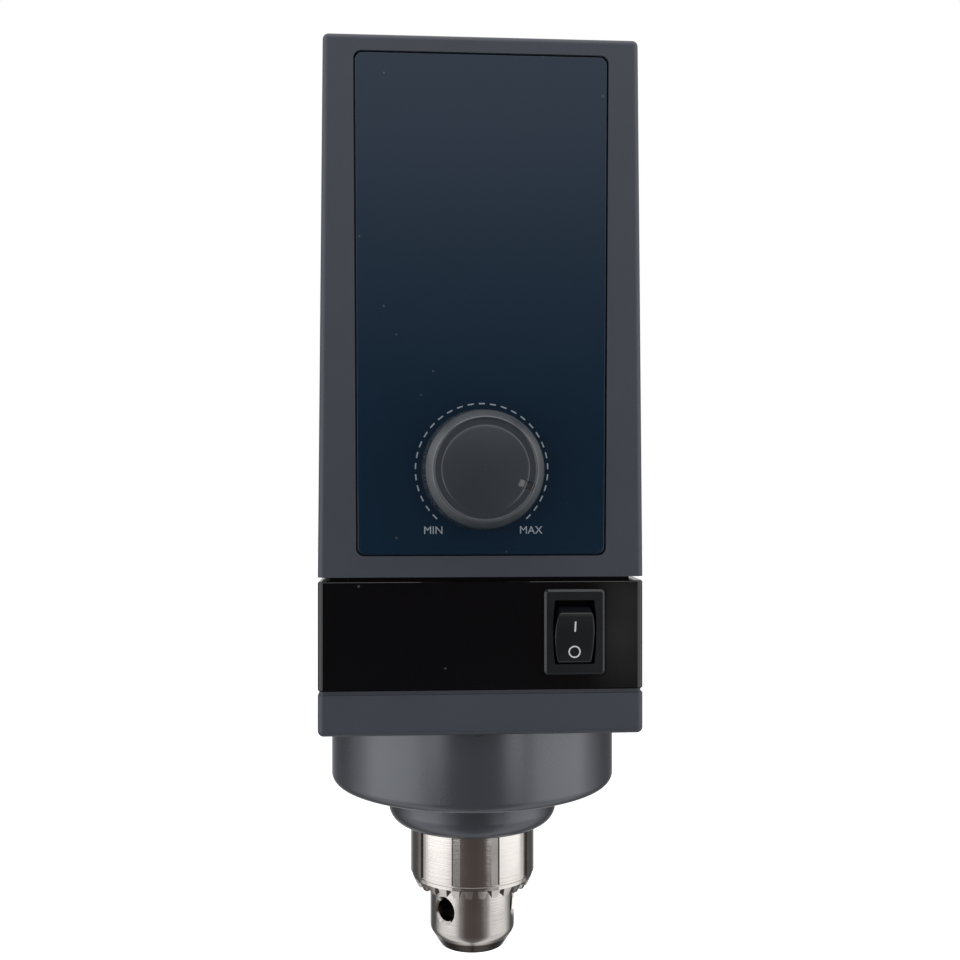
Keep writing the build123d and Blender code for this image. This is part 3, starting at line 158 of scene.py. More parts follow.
# %% A rippled window in front on the right
right_turn = maths(tree, "ARCTAN2", parts.outputs["X"], forward)
window_left = spread(tree, right_turn, 0.0, 1.0, math.radians(9.4), math.radians(10.1))
window_right = spread(tree, right_turn, 1.0, 0.0, math.radians(11.2), math.radians(13.0))
window_low = spread(tree, parts.outputs["Z"], 0.0, 1.0, -0.185, -0.155)
window_top = spread(tree, parts.outputs["Z"], 1.0, 0.0, -0.090, -0.070)
ripple = add_node(tree, "ShaderNodeTexNoise", {"Vector": direction, "Scale": 55.0, "Detail": 2.0})
window = maths(tree, "MULTIPLY", maths(tree, "MULTIPLY", window_left, window_right),
               maths(tree, "MULTIPLY", window_low, window_top))
window = maths(tree, "MULTIPLY", window, maths(tree, "MULTIPLY", ripple.outputs[0], 0.9))
room = mixed(tree, window, studio_view, white)

# %% What mirrors, matt surfaces and the camera see
paths = add_node(tree, "ShaderNodeLightPath")
mirror = maths(tree, "MAXIMUM", paths.outputs["Is Glossy Ray"], paths.outputs["Is Transmission Ray"])
soft = mixed(tree, mirror, matt_light, room)
seen = mixed(tree, paths.outputs["Is Camera Ray"], soft, white)
shine = add_node(tree, "ShaderNodeBackground", {"Color": seen, "Strength": 1.0})
add_node(tree, "ShaderNodeOutputWorld", {"Surface": shine.outputs[0]})
print("world:", len(tree.nodes), "nodes")

# %% [markdown]
# ## Lamps and floor
# Large soft boxes at both sides and above give broad, even light without hard edges. Two small ones
# low in front put a soft light on the knob's dome and bevel. The floor glows for the camera, so that
# it joins the white behind, yet it still takes the stirrer's shadow. Mirrors look through it, because
# the gloss band and the chuck would otherwise turn grey.

# %% Soft boxes
def soft_box(name, place, aim, width, height, power):
    """A rectangular area lamp at a place, turned towards an aim."""
    data = bpy.data.lights.new(name, "AREA")
    data.shape = "RECTANGLE"
    data.size = width
    data.size_y = height
    data.energy = power
    lamp = bpy.data.objects.new(name, data)
    lamp.location = place
    gaze = np.subtract(aim, place)
    yaw = math.atan2(-gaze[0], gaze[1])
    pitch = math.atan2(gaze[2], math.hypot(gaze[0], gaze[1]))
    lamp.rotation_euler = (math.pi / 2 + pitch, 0.0, yaw)
    bpy.context.scene.collection.objects.link(lamp)
    return lamp


soft_box("left_box", (-0.95, -0.40, 0.30), (0.0, 0.0, 0.10), 1.1, 1.4, 4.8)
soft_box("low_front_left", (-0.45, -0.75, -0.02), (0.0, 0.0, 0.12), 0.22, 0.30, 0.35)
soft_box("low_front_right", (0.42, -0.75, -0.06), (0.0, 0.0, 0.12), 0.20, 0.26, 0.30)
soft_box("right_box", (0.95, -0.35, 0.30), (0.0, 0.0, 0.10), 1.1, 1.4, 4.0)
soft_box("top_box", (0.0, -0.25, 1.15), (0.0, 0.0, 0.10), 1.3, 0.9, 4.0)
print("lamps:", len(bpy.data.lights))

# %% Floor
floor_level = -0.12
reach = 4.0
floor_glow = 0.80
floor_mesh = bpy.data.meshes.new("floor")
floor_mesh.from_pydata([(-reach, -reach, floor_level), (reach, -reach, floor_level),
                        (reach, reach, floor_level), (-reach, reach, floor_level)], [], [(0, 1, 2, 3)])
floor = bpy.data.objects.new("floor", floor_mesh)
bpy.context.scene.collection.objects.link(floor)
floor_paint = bpy.data.materials.new("floor_paint")
floor_paint.use_nodes = True
tree = floor_paint.node_tree
tree.nodes.clear()
matt = add_node(tree, "ShaderNodeBsdfDiffuse", {"Color": (0.80, 0.80, 0.80, 1.0)})
paths = add_node(tree, "ShaderNodeLightPath")
glow = add_node(tree, "ShaderNodeEmission", {"Color": (*white, 1.0), "Strength": floor_glow})
lit = add_node(tree, "ShaderNodeAddShader", {0: matt.outputs[0], 1: glow.outputs[0]})
clear = add_node(tree, "ShaderNodeBsdfTransparent")
seen = add_node(tree, "ShaderNodeMixShader", {
    0: paths.outputs["Is Camera Ray"], 1: matt.outputs[0], 2: lit.outputs[0]})
mirror = maths(tree, "MAXIMUM", paths.outputs["Is Glossy Ray"], paths.outputs["Is Transmission Ray"])
choice = add_node(tree, "ShaderNodeMixShader", {0: mirror, 1: seen.outputs[0], 2: clear.outputs[0]})
add_node(tree, "ShaderNodeOutputMaterial", {"Surface": choice.outputs[0]})
floor_mesh.materials.append(floor_paint)
print("floor at", floor_level, "m")

# %% [markdown]
# ## Surface detail shared by many finishes
# Moulded plastic, sprayed paint and turned steel differ in scale more than in kind: each is a fine
# pattern that disturbs height and gloss. So the patterns are node groups, built once, and every
# material sets its own size and strength. They read Object coordinates, which are metres in the
# stirrer's own frame, so a pattern of 2500 per metre repeats about every 0.4 mm.

# %% Node groups for grain, turning marks and dust
def new_group(name, inputs, outputs):
    """An empty shader node group with float inputs, as name and default, and named outputs."""
    group = bpy.data.node_groups.new(name, "ShaderNodeTree")
    for label, default in inputs:
        socket = group.interface.new_socket(label, in_out="INPUT", socket_type="NodeSocketFloat")
        socket.default_value = default
    for label, kind in outputs:
        group.interface.new_socket(label, in_out="OUTPUT", socket_type=kind)
    entry = group.nodes.new("NodeGroupInput")
    leave = group.nodes.new("NodeGroupOutput")
    return group, entry, leave


grain, entry, leave = new_group(
    "fine_grain", [("Scale", 2500.0), ("Softness", 0.5)],
    [("Height", "NodeSocketFloat"), ("Cloud", "NodeSocketFloat")])
place = add_node(grain, "ShaderNodeTexCoord").outputs["Object"]
small = add_node(grain, "ShaderNodeTexNoise", {
    "Vector": place, "Scale": entry.outputs["Scale"], "Detail": 3.0,
    "Roughness": entry.outputs["Softness"]})
large = add_node(grain, "ShaderNodeTexNoise", {
    "Vector": place, "Scale": 55.0, "Detail": 4.0, "Roughness": 0.6})
grain.links.new(small.outputs[0], leave.inputs["Height"])
grain.links.new(large.outputs[0], leave.inputs["Cloud"])

turning, entry, leave = new_group(
    "turning_marks", [("Pitch", 3500.0), ("Drift", 30.0)],
    [("Height", "NodeSocketFloat"), ("Streak", "NodeSocketFloat")])
place = add_node(turning, "ShaderNodeTexCoord").outputs["Object"]
axis = add_node(turning, "ShaderNodeSeparateXYZ", {0: place})
along = maths(turning, "MULTIPLY", axis.outputs["Z"], entry.outputs["Pitch"])
around = add_node(turning, "ShaderNodeCombineXYZ", {
    0: maths(turning, "MULTIPLY", axis.outputs["X"], entry.outputs["Drift"]),
    1: maths(turning, "MULTIPLY", axis.outputs["Y"], entry.outputs["Drift"]), 2: along})
marks = add_node(turning, "ShaderNodeTexNoise", {
    "Vector": around.outputs[0], "Scale": 1.0, "Detail": 2.0, "Roughness": 0.55})
stains = add_node(turning, "ShaderNodeTexNoise", {
    "Vector": place, "Scale": 160.0, "Detail": 5.0, "Roughness": 0.6})
turning.links.new(marks.outputs[0], leave.inputs["Height"])
turning.links.new(stains.outputs[0], leave.inputs["Streak"])

specks, entry, leave = new_group(
    "dust_specks", [("Scale", 420.0), ("Amount", 0.03)], [("Mask", "NodeSocketFloat")])
place = add_node(specks, "ShaderNodeTexCoord").outputs["Object"]
cells = add_node(specks, "ShaderNodeTexVoronoi", {"Vector": place, "Scale": entry.outputs["Scale"]})
near = maths(specks, "LESS_THAN", cells.outputs["Distance"], 0.10)
pick = add_node(specks, "ShaderNodeSeparateColor", {0: cells.outputs["Color"]})
rare = maths(specks, "LESS_THAN", pick.outputs[0], entry.outputs["Amount"])
specks.links.new(maths(specks, "MULTIPLY", near, rare), leave.inputs["Mask"])
print("groups:", [g.name for g in bpy.data.node_groups])


# %% A finish from its colour, gloss and pattern
def use_group(tree, group, **values):
    """A node group placed in a material, with its inputs set."""
    node = tree.nodes.new("ShaderNodeGroup")
    node.node_tree = group
    for name, value in values.items():
        node.inputs[name].default_value = value
    return node


bump_reach = 0.0001


def finish(name, colour, rough, metal=0.0, pattern=None, scale=2500.0, depth=0.02, shade=0.12, **fixed):
    """A Principled material whose colour clouds softly, and whose gloss and height follow a pattern.

    colour is linear, rough is a range, depth is the bump's strength over 0.1 mm, and shade is how
    much darker the clouded places are. fixed sets plain values on the shader's own sockets.
    """
    material = bpy.data.materials.new(name)
    material.use_nodes = True
    tree = material.node_tree
    tree.nodes.clear()
    if pattern == "turned":
        source = use_group(tree, turning, Pitch=scale)
        cloud = source.outputs["Streak"]
    else:
        source = use_group(tree, grain, Scale=scale)
        cloud = source.outputs["Cloud"]
    darker = tuple(channel * (1.0 - shade) for channel in colour)
    lighter = tuple(min(channel * (1.0 + shade), 1.0) for channel in colour)
    tint = mixed(tree, spread(tree, cloud, 0.0, 1.0), darker, lighter)
    bump = add_node(tree, "ShaderNodeBump", {
        "Strength": depth, "Distance": bump_reach, "Height": source.outputs["Height"]})
    shader = add_node(tree, "ShaderNodeBsdfPrincipled", {
        "Base Color": tint, "Roughness": spread(tree, cloud, rough[0], rough[1]), "Metallic": metal,
        "Normal": bump.outputs[0]})
    for socket, value in fixed.items():
        shader.inputs[socket.replace("_", " ")].default_value = value
    add_node(tree, "ShaderNodeOutputMaterial", {"Surface": shader.outputs[0]})
    return material, tree, shader, tint


# %% [markdown]
# ## Paint and plastic
# The casing is sprayed in a matt blue-grey with a very fine texture. The nose has the same grey with a
# metallic sheen, so it is part metal, and its sides pick up the studio. The panel and the band are
# polished: they take their look almost wholly from what they reflect, with a few specks of dust.

# %% Paint, gloss and moulded plastic
shell_paint = finish("shell_paint", (0.046, 0.053, 0.067), (0.42, 0.52), scale=2800.0, depth=0.10,
                     shade=0.06)[0]
nose_paint = finish("nose_paint", (0.080, 0.087, 0.103), (0.25, 0.31), 0.45, scale=2800.0, depth=0.05,
                    shade=0.06, Specular_IOR_Level=1.0)[0]
knob_grey = finish("knob_grey", (0.027, 0.034, 0.042), (0.22, 0.30), scale=5200.0, depth=0.05, shade=0.08,
                   Specular_IOR_Level=0.95)[0]
switch_black = finish("switch_black", (0.0070, 0.0085, 0.0110), (0.26, 0.38), scale=6500.0, depth=0.10,
                      shade=0.15)[0]


def dusty_gloss(name, colour, rough, dust):
    """A polished finish with rare pale specks of dust."""
    material, tree, shader, tint = finish(name, colour, rough, scale=900.0, depth=0.004, shade=0.05)
    mask = use_group(tree, specks, Scale=330.0, Amount=dust).outputs["Mask"]
    tree.links.new(mixed(tree, mask, tint, (0.06, 0.07, 0.08)), shader.inputs["Base Color"])
    return material


panel_gloss = dusty_gloss("panel_gloss", (0.0042, 0.0190, 0.0400), (0.10, 0.16), 0.06)
band_gloss = dusty_gloss("band_gloss", (0.0016, 0.0019, 0.0030), (0.05, 0.09), 0.03)
print("finishes so far:", len(bpy.data.materials))

# %% [markdown]
# ## Metals
# The chuck is turned steel: fine rings round the axis stretch its reflections into upright bands.
# Its nose cone and bore carry painted shade, a dark brown. The other metals are the same recipe
# with other numbers, so that ground rod, zinc plate, aluminium and brass stay distinct.

# %% Steel, zinc, aluminium and brass
steel_ground = finish("steel_ground", (0.56, 0.56, 0.56), (0.22, 0.32), 1.0, "turned", 5000.0, 0.04,
                      0.08)[0]
rod_steel = finish("rod_steel", (0.56, 0.56, 0.56), (0.24, 0.30), 1.0, None, 3000.0, 0.01, 0.05)[0]
zinc_plate = finish("zinc_plate", (0.55, 0.56, 0.57), (0.30, 0.45), 1.0, None, 1800.0, 0.05, 0.12)[0]
aluminium = finish("aluminium", (0.64, 0.65, 0.66), (0.32, 0.46), 1.0, None, 3200.0, 0.05, 0.08)[0]
brass = finish("brass", (0.72, 0.52, 0.22), (0.22, 0.36), 1.0, None, 2600.0, 0.03, 0.10)[0]
bronze = finish("bronze", (0.48, 0.31, 0.16), (0.45, 0.60), 1.0, None, 3800.0, 0.12, 0.15)[0]
copper_wire = finish("copper_wire", (0.62, 0.25, 0.10), (0.25, 0.40), 1.0, "turned", 1600.0, 0.30, 0.12)[0]
core_iron = finish("core_iron", (0.20, 0.20, 0.21), (0.45, 0.60), 1.0, "turned", 2000.0, 0.35, 0.10)[0]
print("metals:", steel_ground.name, rod_steel.name, zinc_plate.name, aluminium.name, brass.name)

# %% The chuck's steel, with painted shade at its mouth
chuck_recipe = dict(colour=(0.59, 0.560, 0.535), rough=(0.12, 0.19), metal=1.0, pattern="turned",
                    scale=4200.0, depth=0.12, shade=0.12)
# Painted shade: the chuck's nose cone and its bore near the axis are painted this dark brown.
chuck_shade_colour = (0.060, 0.050, 0.045)
shaded_cone_top = 0.0026
bore_reach = 0.0098
bore_fade = 0.0112
soft_edge = 0.0001


def chuck_finish(name):
    """Turned steel with painted shade: dark brown on its nose cone and near the axis, where the bore and
    jaw holes are.
    """
    material, tree, shader, tint = finish(name, **chuck_recipe)
    place = add_node(tree, "ShaderNodeTexCoord").outputs["Object"]
    axis = add_node(tree, "ShaderNodeSeparateXYZ", {0: place})
    square = maths(tree, "ADD", maths(tree, "MULTIPLY", axis.outputs["X"], axis.outputs["X"]),
                   maths(tree, "MULTIPLY", axis.outputs["Y"], axis.outputs["Y"]))
    distance = maths(tree, "SQRT", square)
    low = spread(tree, axis.outputs["Z"], 1.0, 0.0, shaded_cone_top - soft_edge, shaded_cone_top + soft_edge)
    inside = spread(tree, distance, 1.0, 0.0, bore_reach, bore_fade)
    # Where the painted shade goes: below the nose cone's top, and near the axis in the bore.
    shade_mask = maths(tree, "MAXIMUM", low, inside)
    tree.links.new(mixed(tree, shade_mask, tint, chuck_shade_colour), shader.inputs["Base Color"])
    return material


chuck_steel = chuck_finish("chuck_steel")
sleeve_steel = finish("sleeve_steel", **chuck_recipe)[0]
print("chuck:", chuck_steel.name, sleeve_steel.name)

# %% Small inner finishes
magnet_black = finish("magnet_black", (0.035, 0.035, 0.038), (0.55, 0.70), 0.0, None, 3000.0, 0.15, 0.15)[0]
carbon_black = finish("carbon_black", (0.020, 0.020, 0.020), (0.50, 0.65), 0.0, None, 4200.0, 0.15, 0.20)[0]
spider_red = finish("spider_red", (0.32, 0.035, 0.025), (0.50, 0.62), 0.0, None, 2200.0, 0.08, 0.10)[0]
board_green = finish("board_green", (0.020, 0.110, 0.045), (0.28, 0.40), 0.0, None, 1500.0, 0.05, 0.12)[0]
moulded_black = finish("moulded_black", (0.016, 0.016, 0.018), (0.38, 0.50), 0.0, None, 4200.0, 0.08,
                       0.12)[0]
print("finishes:", len(bpy.data.materials))

# %% [markdown]
# ## Which piece wears which finish
# Every node of the frame gets one of the finishes above. The frame's meshes stay as they are: only
# the material in each slot changes.

# %% Dress the frame's nodes
dress = {
    shell_paint: ["upper_shell", "base_ring", "rear_cover"],
    nose_paint: ["nose_housing"],
    panel_gloss: ["front_panel"],
    band_gloss: ["trim_band"],
    knob_grey: ["speed_knob"],
    switch_black: ["switch_housing", "rocker"],
    chuck_steel: ["chuck_body"],
    sleeve_steel: ["chuck_sleeve"],
    steel_ground: ["chuck_nut", "jaw_1", "jaw_2", "jaw_3", "spindle", "spindle_circlip",
                   "bearing_outer_rings", "bearing_inner_rings", "bearing_spacer", "motor_shaft"],
    rod_steel: ["support_rod", "rod_set_screw"],
    zinc_plate: ["potentiometer", "pot_nut", "bearing_retainer", "frame_posts", "motor_can",
                 "motor_end_bell", "jack_nut", "nose_screws", "retainer_screws", "post_screws",
                 "motor_screws", "block_screws", "cover_screws", "board_screws"],
    aluminium: ["coupling_lower", "coupling_upper", "motor_plate", "rod_block", "driver_heatsink"],
    brass: ["pot_shaft", "switch_terminals"],
    bronze: ["motor_bushes"],
    copper_wire: ["armature_windings", "motor_commutator"],
    core_iron: ["motor_armature"],
    magnet_black: ["motor_magnets"],
    carbon_black: ["carbon_brushes"],
    spider_red: ["coupling_spider"],
    board_green: ["control_board"],
    moulded_black: ["capacitors", "terminal_blocks", "power_jack"],
}
for material, names in dress.items():
    for name in names:
        for slot in nodes[name].material_slots:
            slot.material = material
bare = set(nodes) - {name for names in dress.values() for name in names}
print("dressed:", sum(map(len, dress.values())), "nodes, left bare:", sorted(bare))

# %% [markdown]
# ## Surfaces from numpy grids
# A new piece is a grid of points worked out as whole arrays: rows along one parameter, columns along
# the other. Two neighbouring rows and columns bound one four-sided face.

# %% Grid to mesh
def grid_faces(rows, columns, wrap):
    """Face corners of a grid of points, row by row, joined round the columns where it wraps."""
    last = columns if wrap else columns - 1
    row, column = np.meshgrid(np.arange(rows - 1), np.arange(last), indexing="ij")
    right = (column + 1) % columns
    corners = np.stack([row * columns + column, row * columns + right,
                        (row + 1) * columns + right, (row + 1) * columns + column], axis=-1)
    return corners.reshape(-1, 4)


crease = math.radians(32.0)


def make_piece(name, points, faces, material, body, smooth=True):
    """A mesh object from arrays of points and four-sided faces, riding on a body.

    Faces are shaded smooth, apart from edges that bend by more than the crease angle.
    """
    mesh = bpy.data.meshes.new(name)
    mesh.from_pydata(points.reshape(-1, 3).tolist(), [], faces.tolist())
    mesh.validate()
    mesh.polygons.foreach_set("use_smooth", np.full(len(mesh.polygons), smooth))
    mesh.set_sharp_from_angle(angle=crease)
    mesh.materials.append(material)
    mesh.update()
    piece = bpy.data.objects.new(name, mesh)
    bpy.context.scene.collection.objects.link(piece)
    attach(piece, body)
    return piece


# %% [markdown]
# ## The speed knob
# The real knob is moulded: a drafted side with shallow grips, a bevel that catches the light, a flat
# ring and a shallow dome, with a small notch as the pointer. Its profile is turned round the knob's
# axis, and the grips and the notch are added as small shifts of the same grid.

# %% Turn the knob's profile
knob_low, knob_high = (np.array(corner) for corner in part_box("speed_knob"))
knob_centre = (knob_low + knob_high) / 2
knob_face_y = knob_high[1]
millimetre = 0.001
skirt = [(12.6, 0.0), (14.7, 0.0), (14.95, 0.1), (15.0, 0.35)]
drafted_side = [(14.93, 1.5), (14.80, 3.5), (14.65, 5.5), (14.50, 7.5), (14.35, 9.6), (14.22, 11.2)]
bevel = [(14.12, 11.55), (13.95, 11.80), (13.2, 12.80), (12.45, 13.74), (12.32, 13.86), (12.20, 13.88)]
flat_ring = [(12.05, 13.82), (11.98, 13.66), (11.9, 13.62), (11.2, 13.62), (10.6, 13.62), (10.40, 13.63)]
dome = [(10.30, 13.68), (10.0, 13.73), (9.0, 13.80), (7.8, 13.88), (6.0, 13.97), (4.0, 14.04),
        (2.0, 14.08), (0.05, 14.10)]
profile = np.array(skirt + drafted_side + bevel + flat_ring + dome) * millimetre
fine = np.linspace(0.0, 1.0, 3, endpoint=False)
steps = np.arange(len(profile))
finer = np.append((steps[:-1, None] + fine[None, :]).ravel(), steps[-1])
radius = np.interp(finer, steps, profile[:, 0])
level = np.interp(finer, steps, profile[:, 1])
print("knob profile:", len(radius), "points")

# %% Grips and pointer notch
pointer_angle = math.radians(-21.0)
column_count = 720
grip_count = 60
grip_depth = 0.12 * millimetre
grip_start = 0.8 * millimetre
grip_stop = 11.2 * millimetre
grip_least_radius = 14.0 * millimetre
notch_half_width = 0.95 * millimetre
notch_wall = 0.12 * millimetre
notch_depth = 0.8 * millimetre
notch_inner_end = 8.8 * millimetre
notch_slope = 1.4 * millimetre
notch_outer_end = 12.25 * millimetre
notch_end_wall = 0.15 * millimetre


def knob_grid():
    """Points of the knob: radius and level turned round the axis.

    On the side the radius shrinks by the grip's depth times (1/2 - cos(n a) / 2)^2 between n grips.
    In the notch, a straight strip from the dome's edge to the ring's rim, the level drops by the
    notch's depth, with steep sides, a steep outer end and a long slope at the inner end.
    """
    angle = np.linspace(0.0, 2.0 * math.pi, column_count, endpoint=False)[None, :]
    r = radius[:, None] + 0.0 * angle
    z = level[:, None] + 0.0 * angle
    begins = np.clip((z - grip_start) / grip_start, 0.0, 1.0)
    ends = np.clip((grip_stop - z) / grip_start, 0.0, 1.0)
    side = begins * ends
    grips = (0.5 - 0.5 * np.cos(grip_count * angle)) ** 2
    r = r - grip_depth * side * (r > grip_least_radius) * grips
    along = r * np.cos(angle - pointer_angle)
    sideways = r * np.sin(angle - pointer_angle)
    across = np.clip((notch_half_width - np.abs(sideways)) / notch_wall, 0.0, 1.0)
    inward = np.clip((along - notch_inner_end) / notch_slope, 0.0, 1.0)
    outward = np.clip((notch_outer_end - along) / notch_end_wall, 0.0, 1.0)
    z = z - notch_depth * across * inward * outward
    x = knob_centre[0] + r * np.cos(angle)
    height = knob_centre[2] + r * np.sin(angle)
    return np.stack([x, knob_face_y - z, height], axis=-1)


points = knob_grid()
faces = grid_faces(len(radius), column_count, True)[:, ::-1]
knob = make_piece("knob_cap", points, faces, knob_grey, "knob")
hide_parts("speed_knob")
print("knob:", len(knob.data.polygons), "faces")

# %% [markdown]
# ## The bearing nose
# The cast nose ends in a stepped collar whose lower edge is well rounded, so that its outline runs
# in a soft curve towards the chuck. It is turned from one closed profile, with the hollow for the
# chuck's sleeve below and the bearing hub above. Arcs are formulas, so their radius can be changed.

# %% Turn the nose
def arc(centre, radius, start, end, count):
    """Points of an arc in a radius and level plane: centre + radius (cos t, sin t), t in degrees."""
    t = np.radians(np.linspace(start, end, count))
    return np.stack([centre[0] + radius * np.cos(t), centre[1] + radius * np.sin(t)], axis=-1)


def turned(loop, columns):
    """A closed loop of radius and level turned round the spindle: (r sin a, -r cos a, z)."""
    angle = np.linspace(0.0, 2.0 * math.pi, columns, endpoint=False)[None, :]
    r = loop[:, 0, None]
    return np.stack([r * np.sin(angle), -r * np.cos(angle), loop[:, 1, None] + 0.0 * angle], axis=-1)


nose_column_count = 256
nose_high = np.array(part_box("nose_housing")[1]) / millimetre
nose_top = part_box("base_ring")[0][2] / millimetre
hub_top = nose_high[2]
hub_radius = 20.0
nose_radius = nose_high[0] + 0.2
nose_edge = 2.6
nose_wall = 3.5
nose_floor = 49.4
step_level = 46.4
collar_radius = 23.5
collar_round = 5.0
collar_low = 34.4
hollow_radius = 18.5
hollow_top = 45.0
web_top = 48.0
web_hole = 9.8
bearing_seat = 14.02
corner = 0.4
rim = 0.1
inner_wall = nose_radius - nose_wall
loop = np.concatenate([
    [(web_hole, web_top), (web_hole, hollow_top), (hollow_radius, hollow_top)],
    [(hollow_radius, collar_low + rim)],
    arc((collar_radius - collar_round, collar_low + collar_round), collar_round, -88.0, 0.0, 24),
    arc((collar_radius + corner, step_level - corner), corner, 180.0, 90.0, 5),
    arc((nose_radius - nose_edge, step_level + nose_edge), nose_edge, -90.0, 0.0, 14),
    [(nose_radius, nose_top), (inner_wall, nose_top), (inner_wall, nose_floor), (hub_radius, nose_floor)],
    [(hub_radius, hub_top), (bearing_seat, hub_top), (bearing_seat, web_top), (web_hole, web_top)],
]) * millimetre
points = turned(loop, nose_column_count)
faces = grid_faces(len(loop), nose_column_count, True)
nose = make_piece("nose_casting", points, faces, nose_paint, "casing")
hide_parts("nose_housing")
print("nose:", len(nose.data.polygons), "faces")

# %% [markdown]
# ## The rocker key
# The key's sides bulge, so that it is narrower at both ends, its face is hollow, and all its edges
# are soft. One section, an outline in length and height, is swept across the width. Towards each
# side the section shrinks, which rounds the edges, and at last it closes on its own middle.

# %% Sweep the rocker key
bezel_low, bezel_high = (np.array(corner_point) for corner_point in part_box("switch_housing"))
bezel_middle = (bezel_low + bezel_high) / 2.0
pivot_depth = 4.1 * millimetre
pivot_drop = 0.2 * millimetre
pivot = np.array([bezel_middle[0], bezel_low[1] + pivot_depth, bezel_middle[2] - pivot_drop])
tilt = math.radians(13.0)
key_half = 6.55
face_end = 5.4
face_dip = 1.0
key_half_width = 4.95
key_bow = 0.95
edge_round = 0.45
corner_sink = 0.06
foot = (6.9, 1.5)
keel = (2.2, -1.0)
flat_share = 0.85
whole = 1000.0


def key_section():
    """The key's outline as length and height: a hollow face, two ends, and a keel below."""
    face = np.linspace(-1.0, 1.0, 31) * (key_half - edge_round)
    dip = face_end - face_dip * (1.0 - (face / key_half) ** 2)
    right = arc((key_half - edge_round, face_end - edge_round - corner_sink), edge_round, 80.0, -6.0, 8)
    left = np.stack([-right[::-1, 0], right[::-1, 1]], axis=-1)
    below = np.array([foot, keel, (-keel[0], keel[1]), (-foot[0], foot[1])])
    return np.concatenate([np.stack([face, dip], axis=-1), right, below, left])


section = key_section()
middle = np.array([0.0, 2.0])
quarter = np.linspace(0.0, math.pi / 2.0, 7)
edge_side = 1.0 - (1.0 - np.cos(quarter)) * edge_round / key_half_width
edge_shrink = (1.0 - np.sin(quarter)) * edge_round
flat_side = np.linspace(-flat_share, flat_share, 13)
side = np.concatenate([[-1.0], -edge_side, flat_side, edge_side[::-1], [1.0]])
shrink = np.concatenate([[whole], edge_shrink, 0.0 * flat_side, edge_shrink[::-1], [whole]])


def key_grid():
    """Points of the key: x = s w(l), where w(l) = half width - bow (l / half length)^2.

    Near each side the section is shrunk: each of its points moves towards the section's middle, by
    at most its whole distance. Last, length and height are turned by the tilt about the pivot.
    """
    away = section - middle
    distance = np.linalg.norm(away, axis=1)
    kept = np.clip(1.0 - shrink[:, None] / distance[None, :], 0.0, 1.0)
    flat = middle + away[None, :, :] * kept[:, :, None]
    half_width = key_half_width - key_bow * np.clip(flat[..., 0] / key_half, -1.0, 1.0) ** 2
    length = flat[..., 0] * math.cos(tilt) - flat[..., 1] * math.sin(tilt)
    height = flat[..., 0] * math.sin(tilt) + flat[..., 1] * math.cos(tilt)
    x = pivot[0] + side[:, None] * half_width * millimetre
    return np.stack([x, pivot[1] - height * millimetre, pivot[2] + length * millimetre], axis=-1)


points = key_grid()
faces = grid_faces(len(side), len(section), True)
key = make_piece("rocker_key", points, faces, switch_black, "switch_key")
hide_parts("rocker")
print("rocker key:", len(key.data.polygons), "faces")

# %% [markdown]
# ## Printed marks
# The dial's dashes, its two end marks and the switch's signs are printed, so they are thin plates
# that stand hardly proud of what carries them.

# %% Ink and the dial's dashes
ink = finish("pale_ink", (0.34, 0.39, 0.44), (0.45, 0.55), 0.0, None, 3800.0, 0.03, 0.08)[0]
white_ink = finish("white_ink", (0.72, 0.74, 0.76), (0.45, 0.55), 0.0, None, 3800.0, 0.03, 0.05)[0]
ink_height = 0.03 * millimetre
panel_face_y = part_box("front_panel")[0][1]
print("panel face at y", round(panel_face_y / millimetre, 2), "mm")


def plates(centres, along, across, length, width, face_y, thickness):
    """Thin boxes on the panel: each centre plus or minus half a length and half a width."""
    corner = np.array([(-1, -1), (1, -1), (1, 1), (-1, 1)])
    flat = (centres[:, None, :] + corner[None, :, 0, None] * along[:, None, :] * length / 2
            + corner[None, :, 1, None] * across[:, None, :] * width / 2)
    front = np.stack([flat[..., 0], np.full(flat.shape[:2], face_y - thickness), flat[..., 1]], axis=-1)
    back = np.stack([flat[..., 0], np.full(flat.shape[:2], face_y), flat[..., 1]], axis=-1)
    points = np.concatenate([front, back], axis=1)
    box = np.array([(0, 1, 2, 3), (0, 4, 5, 1), (1, 5, 6, 2), (2, 6, 7, 3), (3, 7, 4, 0)])
    faces = (np.arange(len(centres))[:, None, None] * 8 + box[None]).reshape(-1, 4)
    return points, faces


dash_count = 29
dash_length = 1.5 * millimetre
dash_width = 0.33 * millimetre
dash_circle = 16.4 * millimetre
dash_angles = np.radians(np.linspace(225.0, -45.0, dash_count))
outward = np.stack([np.cos(dash_angles), np.sin(dash_angles)], axis=-1)
round_the_dial = np.stack([-np.sin(dash_angles), np.cos(dash_angles)], axis=-1)
dash_centres = np.array([knob_centre[0], knob_centre[2]]) + outward * dash_circle
points, faces = plates(dash_centres, round_the_dial, outward, dash_length, dash_width, panel_face_y,
                       ink_height)
make_piece("dial_dashes", points, faces, ink, "casing", smooth=False)
print("dial:", dash_count, "dashes")


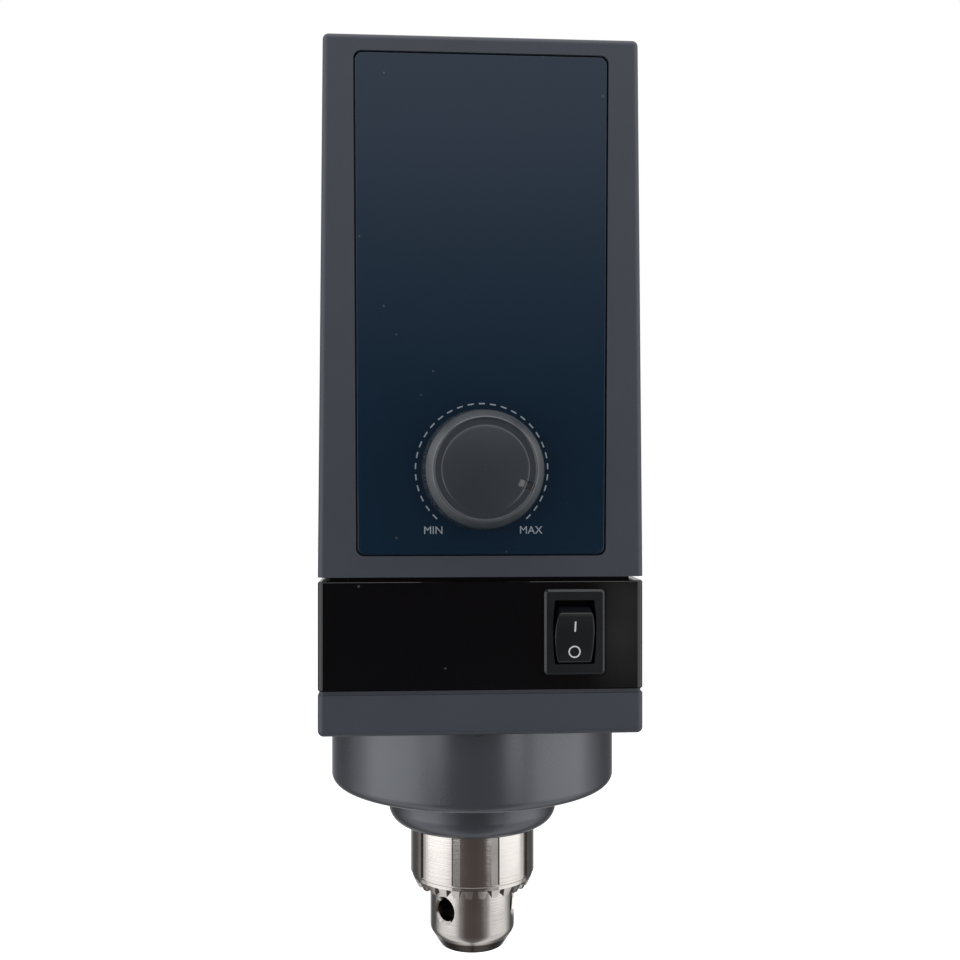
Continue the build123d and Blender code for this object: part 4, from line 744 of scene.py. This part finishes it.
# %% End marks of the dial
def printed_word(name, text, size, place, material):
    """A word as a thin mesh, facing the front, centred on a place in metres."""
    curve = bpy.data.curves.new(name, "FONT")
    curve.body = text
    curve.size = size
    curve.align_x = "CENTER"
    curve.align_y = "CENTER"
    curve.extrude = ink_height / 2.0
    curve.resolution_u = 6
    writing = bpy.data.objects.new(name + "_writing", curve)
    bpy.context.scene.collection.objects.link(writing)
    bpy.context.view_layer.update()
    shaped = writing.evaluated_get(bpy.context.evaluated_depsgraph_get())
    mesh = bpy.data.meshes.new_from_object(shaped)
    bpy.data.objects.remove(writing)
    flat = np.empty(len(mesh.vertices) * 3)
    mesh.vertices.foreach_get("co", flat)
    flat = flat.reshape(-1, 3)
    placed = np.stack([flat[:, 0] + place[0], place[1] - flat[:, 2], flat[:, 1] + place[2]], axis=-1)
    mesh.vertices.foreach_set("co", placed.ravel())
    mesh.materials.clear()
    mesh.materials.append(material)
    mesh.update()
    piece = bpy.data.objects.new(name, mesh)
    bpy.context.scene.collection.objects.link(piece)
    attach(piece, "casing")
    return piece


word_size = 2.7 * millimetre
word_y = panel_face_y - ink_height / 2.0
word_drop = 15.0 * millimetre
word_z = knob_centre[2] - word_drop
least_x = -12.0 * millimetre
most_x = 12.2 * millimetre
printed_word("dial_min", "MIN", word_size, (least_x, word_y, word_z), ink)
printed_word("dial_max", "MAX", word_size, (most_x, word_y, word_z), ink)
print("end marks placed")

# %% [markdown]
# ## The signs on the rocker
# The rocker's face is hollow, so its signs are laid on the same curve: the level of the face is read
# from its own mesh beneath each point of the sign.

# %% Read the rocker's face
far_front = -0.2


def face_depth(carrier, x, z):
    """The front of a piece's mesh, as y, where a line along +Y at x and z first meets it."""
    depths = np.empty(x.shape)
    for index in np.ndindex(x.shape):
        hit, place, _, _ = carrier.ray_cast((x[index], far_front, z[index]), (0.0, 1.0, 0.0))
        depths[index] = place[1] if hit else np.nan
    return depths


def laid_strip(name, centre_line, sideways, width, carrier, body):
    """A strip of ink laid on a piece: a centre line in x and z widened sideways, slightly proud."""
    offsets = np.linspace(-0.5, 0.5, 4)[None, :, None] * width
    flat = centre_line[:, None, :] + offsets * sideways[:, None, :]
    depth = face_depth(carrier, flat[..., 0], flat[..., 1]) - ink_height
    points = np.stack([flat[..., 0], depth, flat[..., 1]], axis=-1)
    faces = grid_faces(points.shape[0], points.shape[1], False)
    return make_piece(name, points, faces, white_ink, body)


on_length = 2.6 * millimetre
on_width = 0.42 * millimetre
on_rise = 1.7 * millimetre
off_radius = 1.35 * millimetre
off_width = 0.35 * millimetre
off_drop = 4.7 * millimetre
sign_x = pivot[0]
rows = np.linspace(-0.5, 0.5, 12)
line = np.stack([np.full(len(rows), sign_x), pivot[2] + on_rise + rows * on_length], axis=-1)
laid_strip("sign_on", line, np.tile([[1.0, 0.0]], (len(rows), 1)), on_width, key, "switch_key")
turn = np.linspace(0.0, 2.0 * math.pi, 49)
spokes = np.stack([np.cos(turn), np.sin(turn)], axis=-1)
ring = np.array([sign_x, pivot[2] - off_drop]) + spokes * off_radius
laid_strip("sign_off", ring, -spokes, off_width, key, "switch_key")
print("signs laid on the rocker at x", round(sign_x / millimetre, 2), "mm")
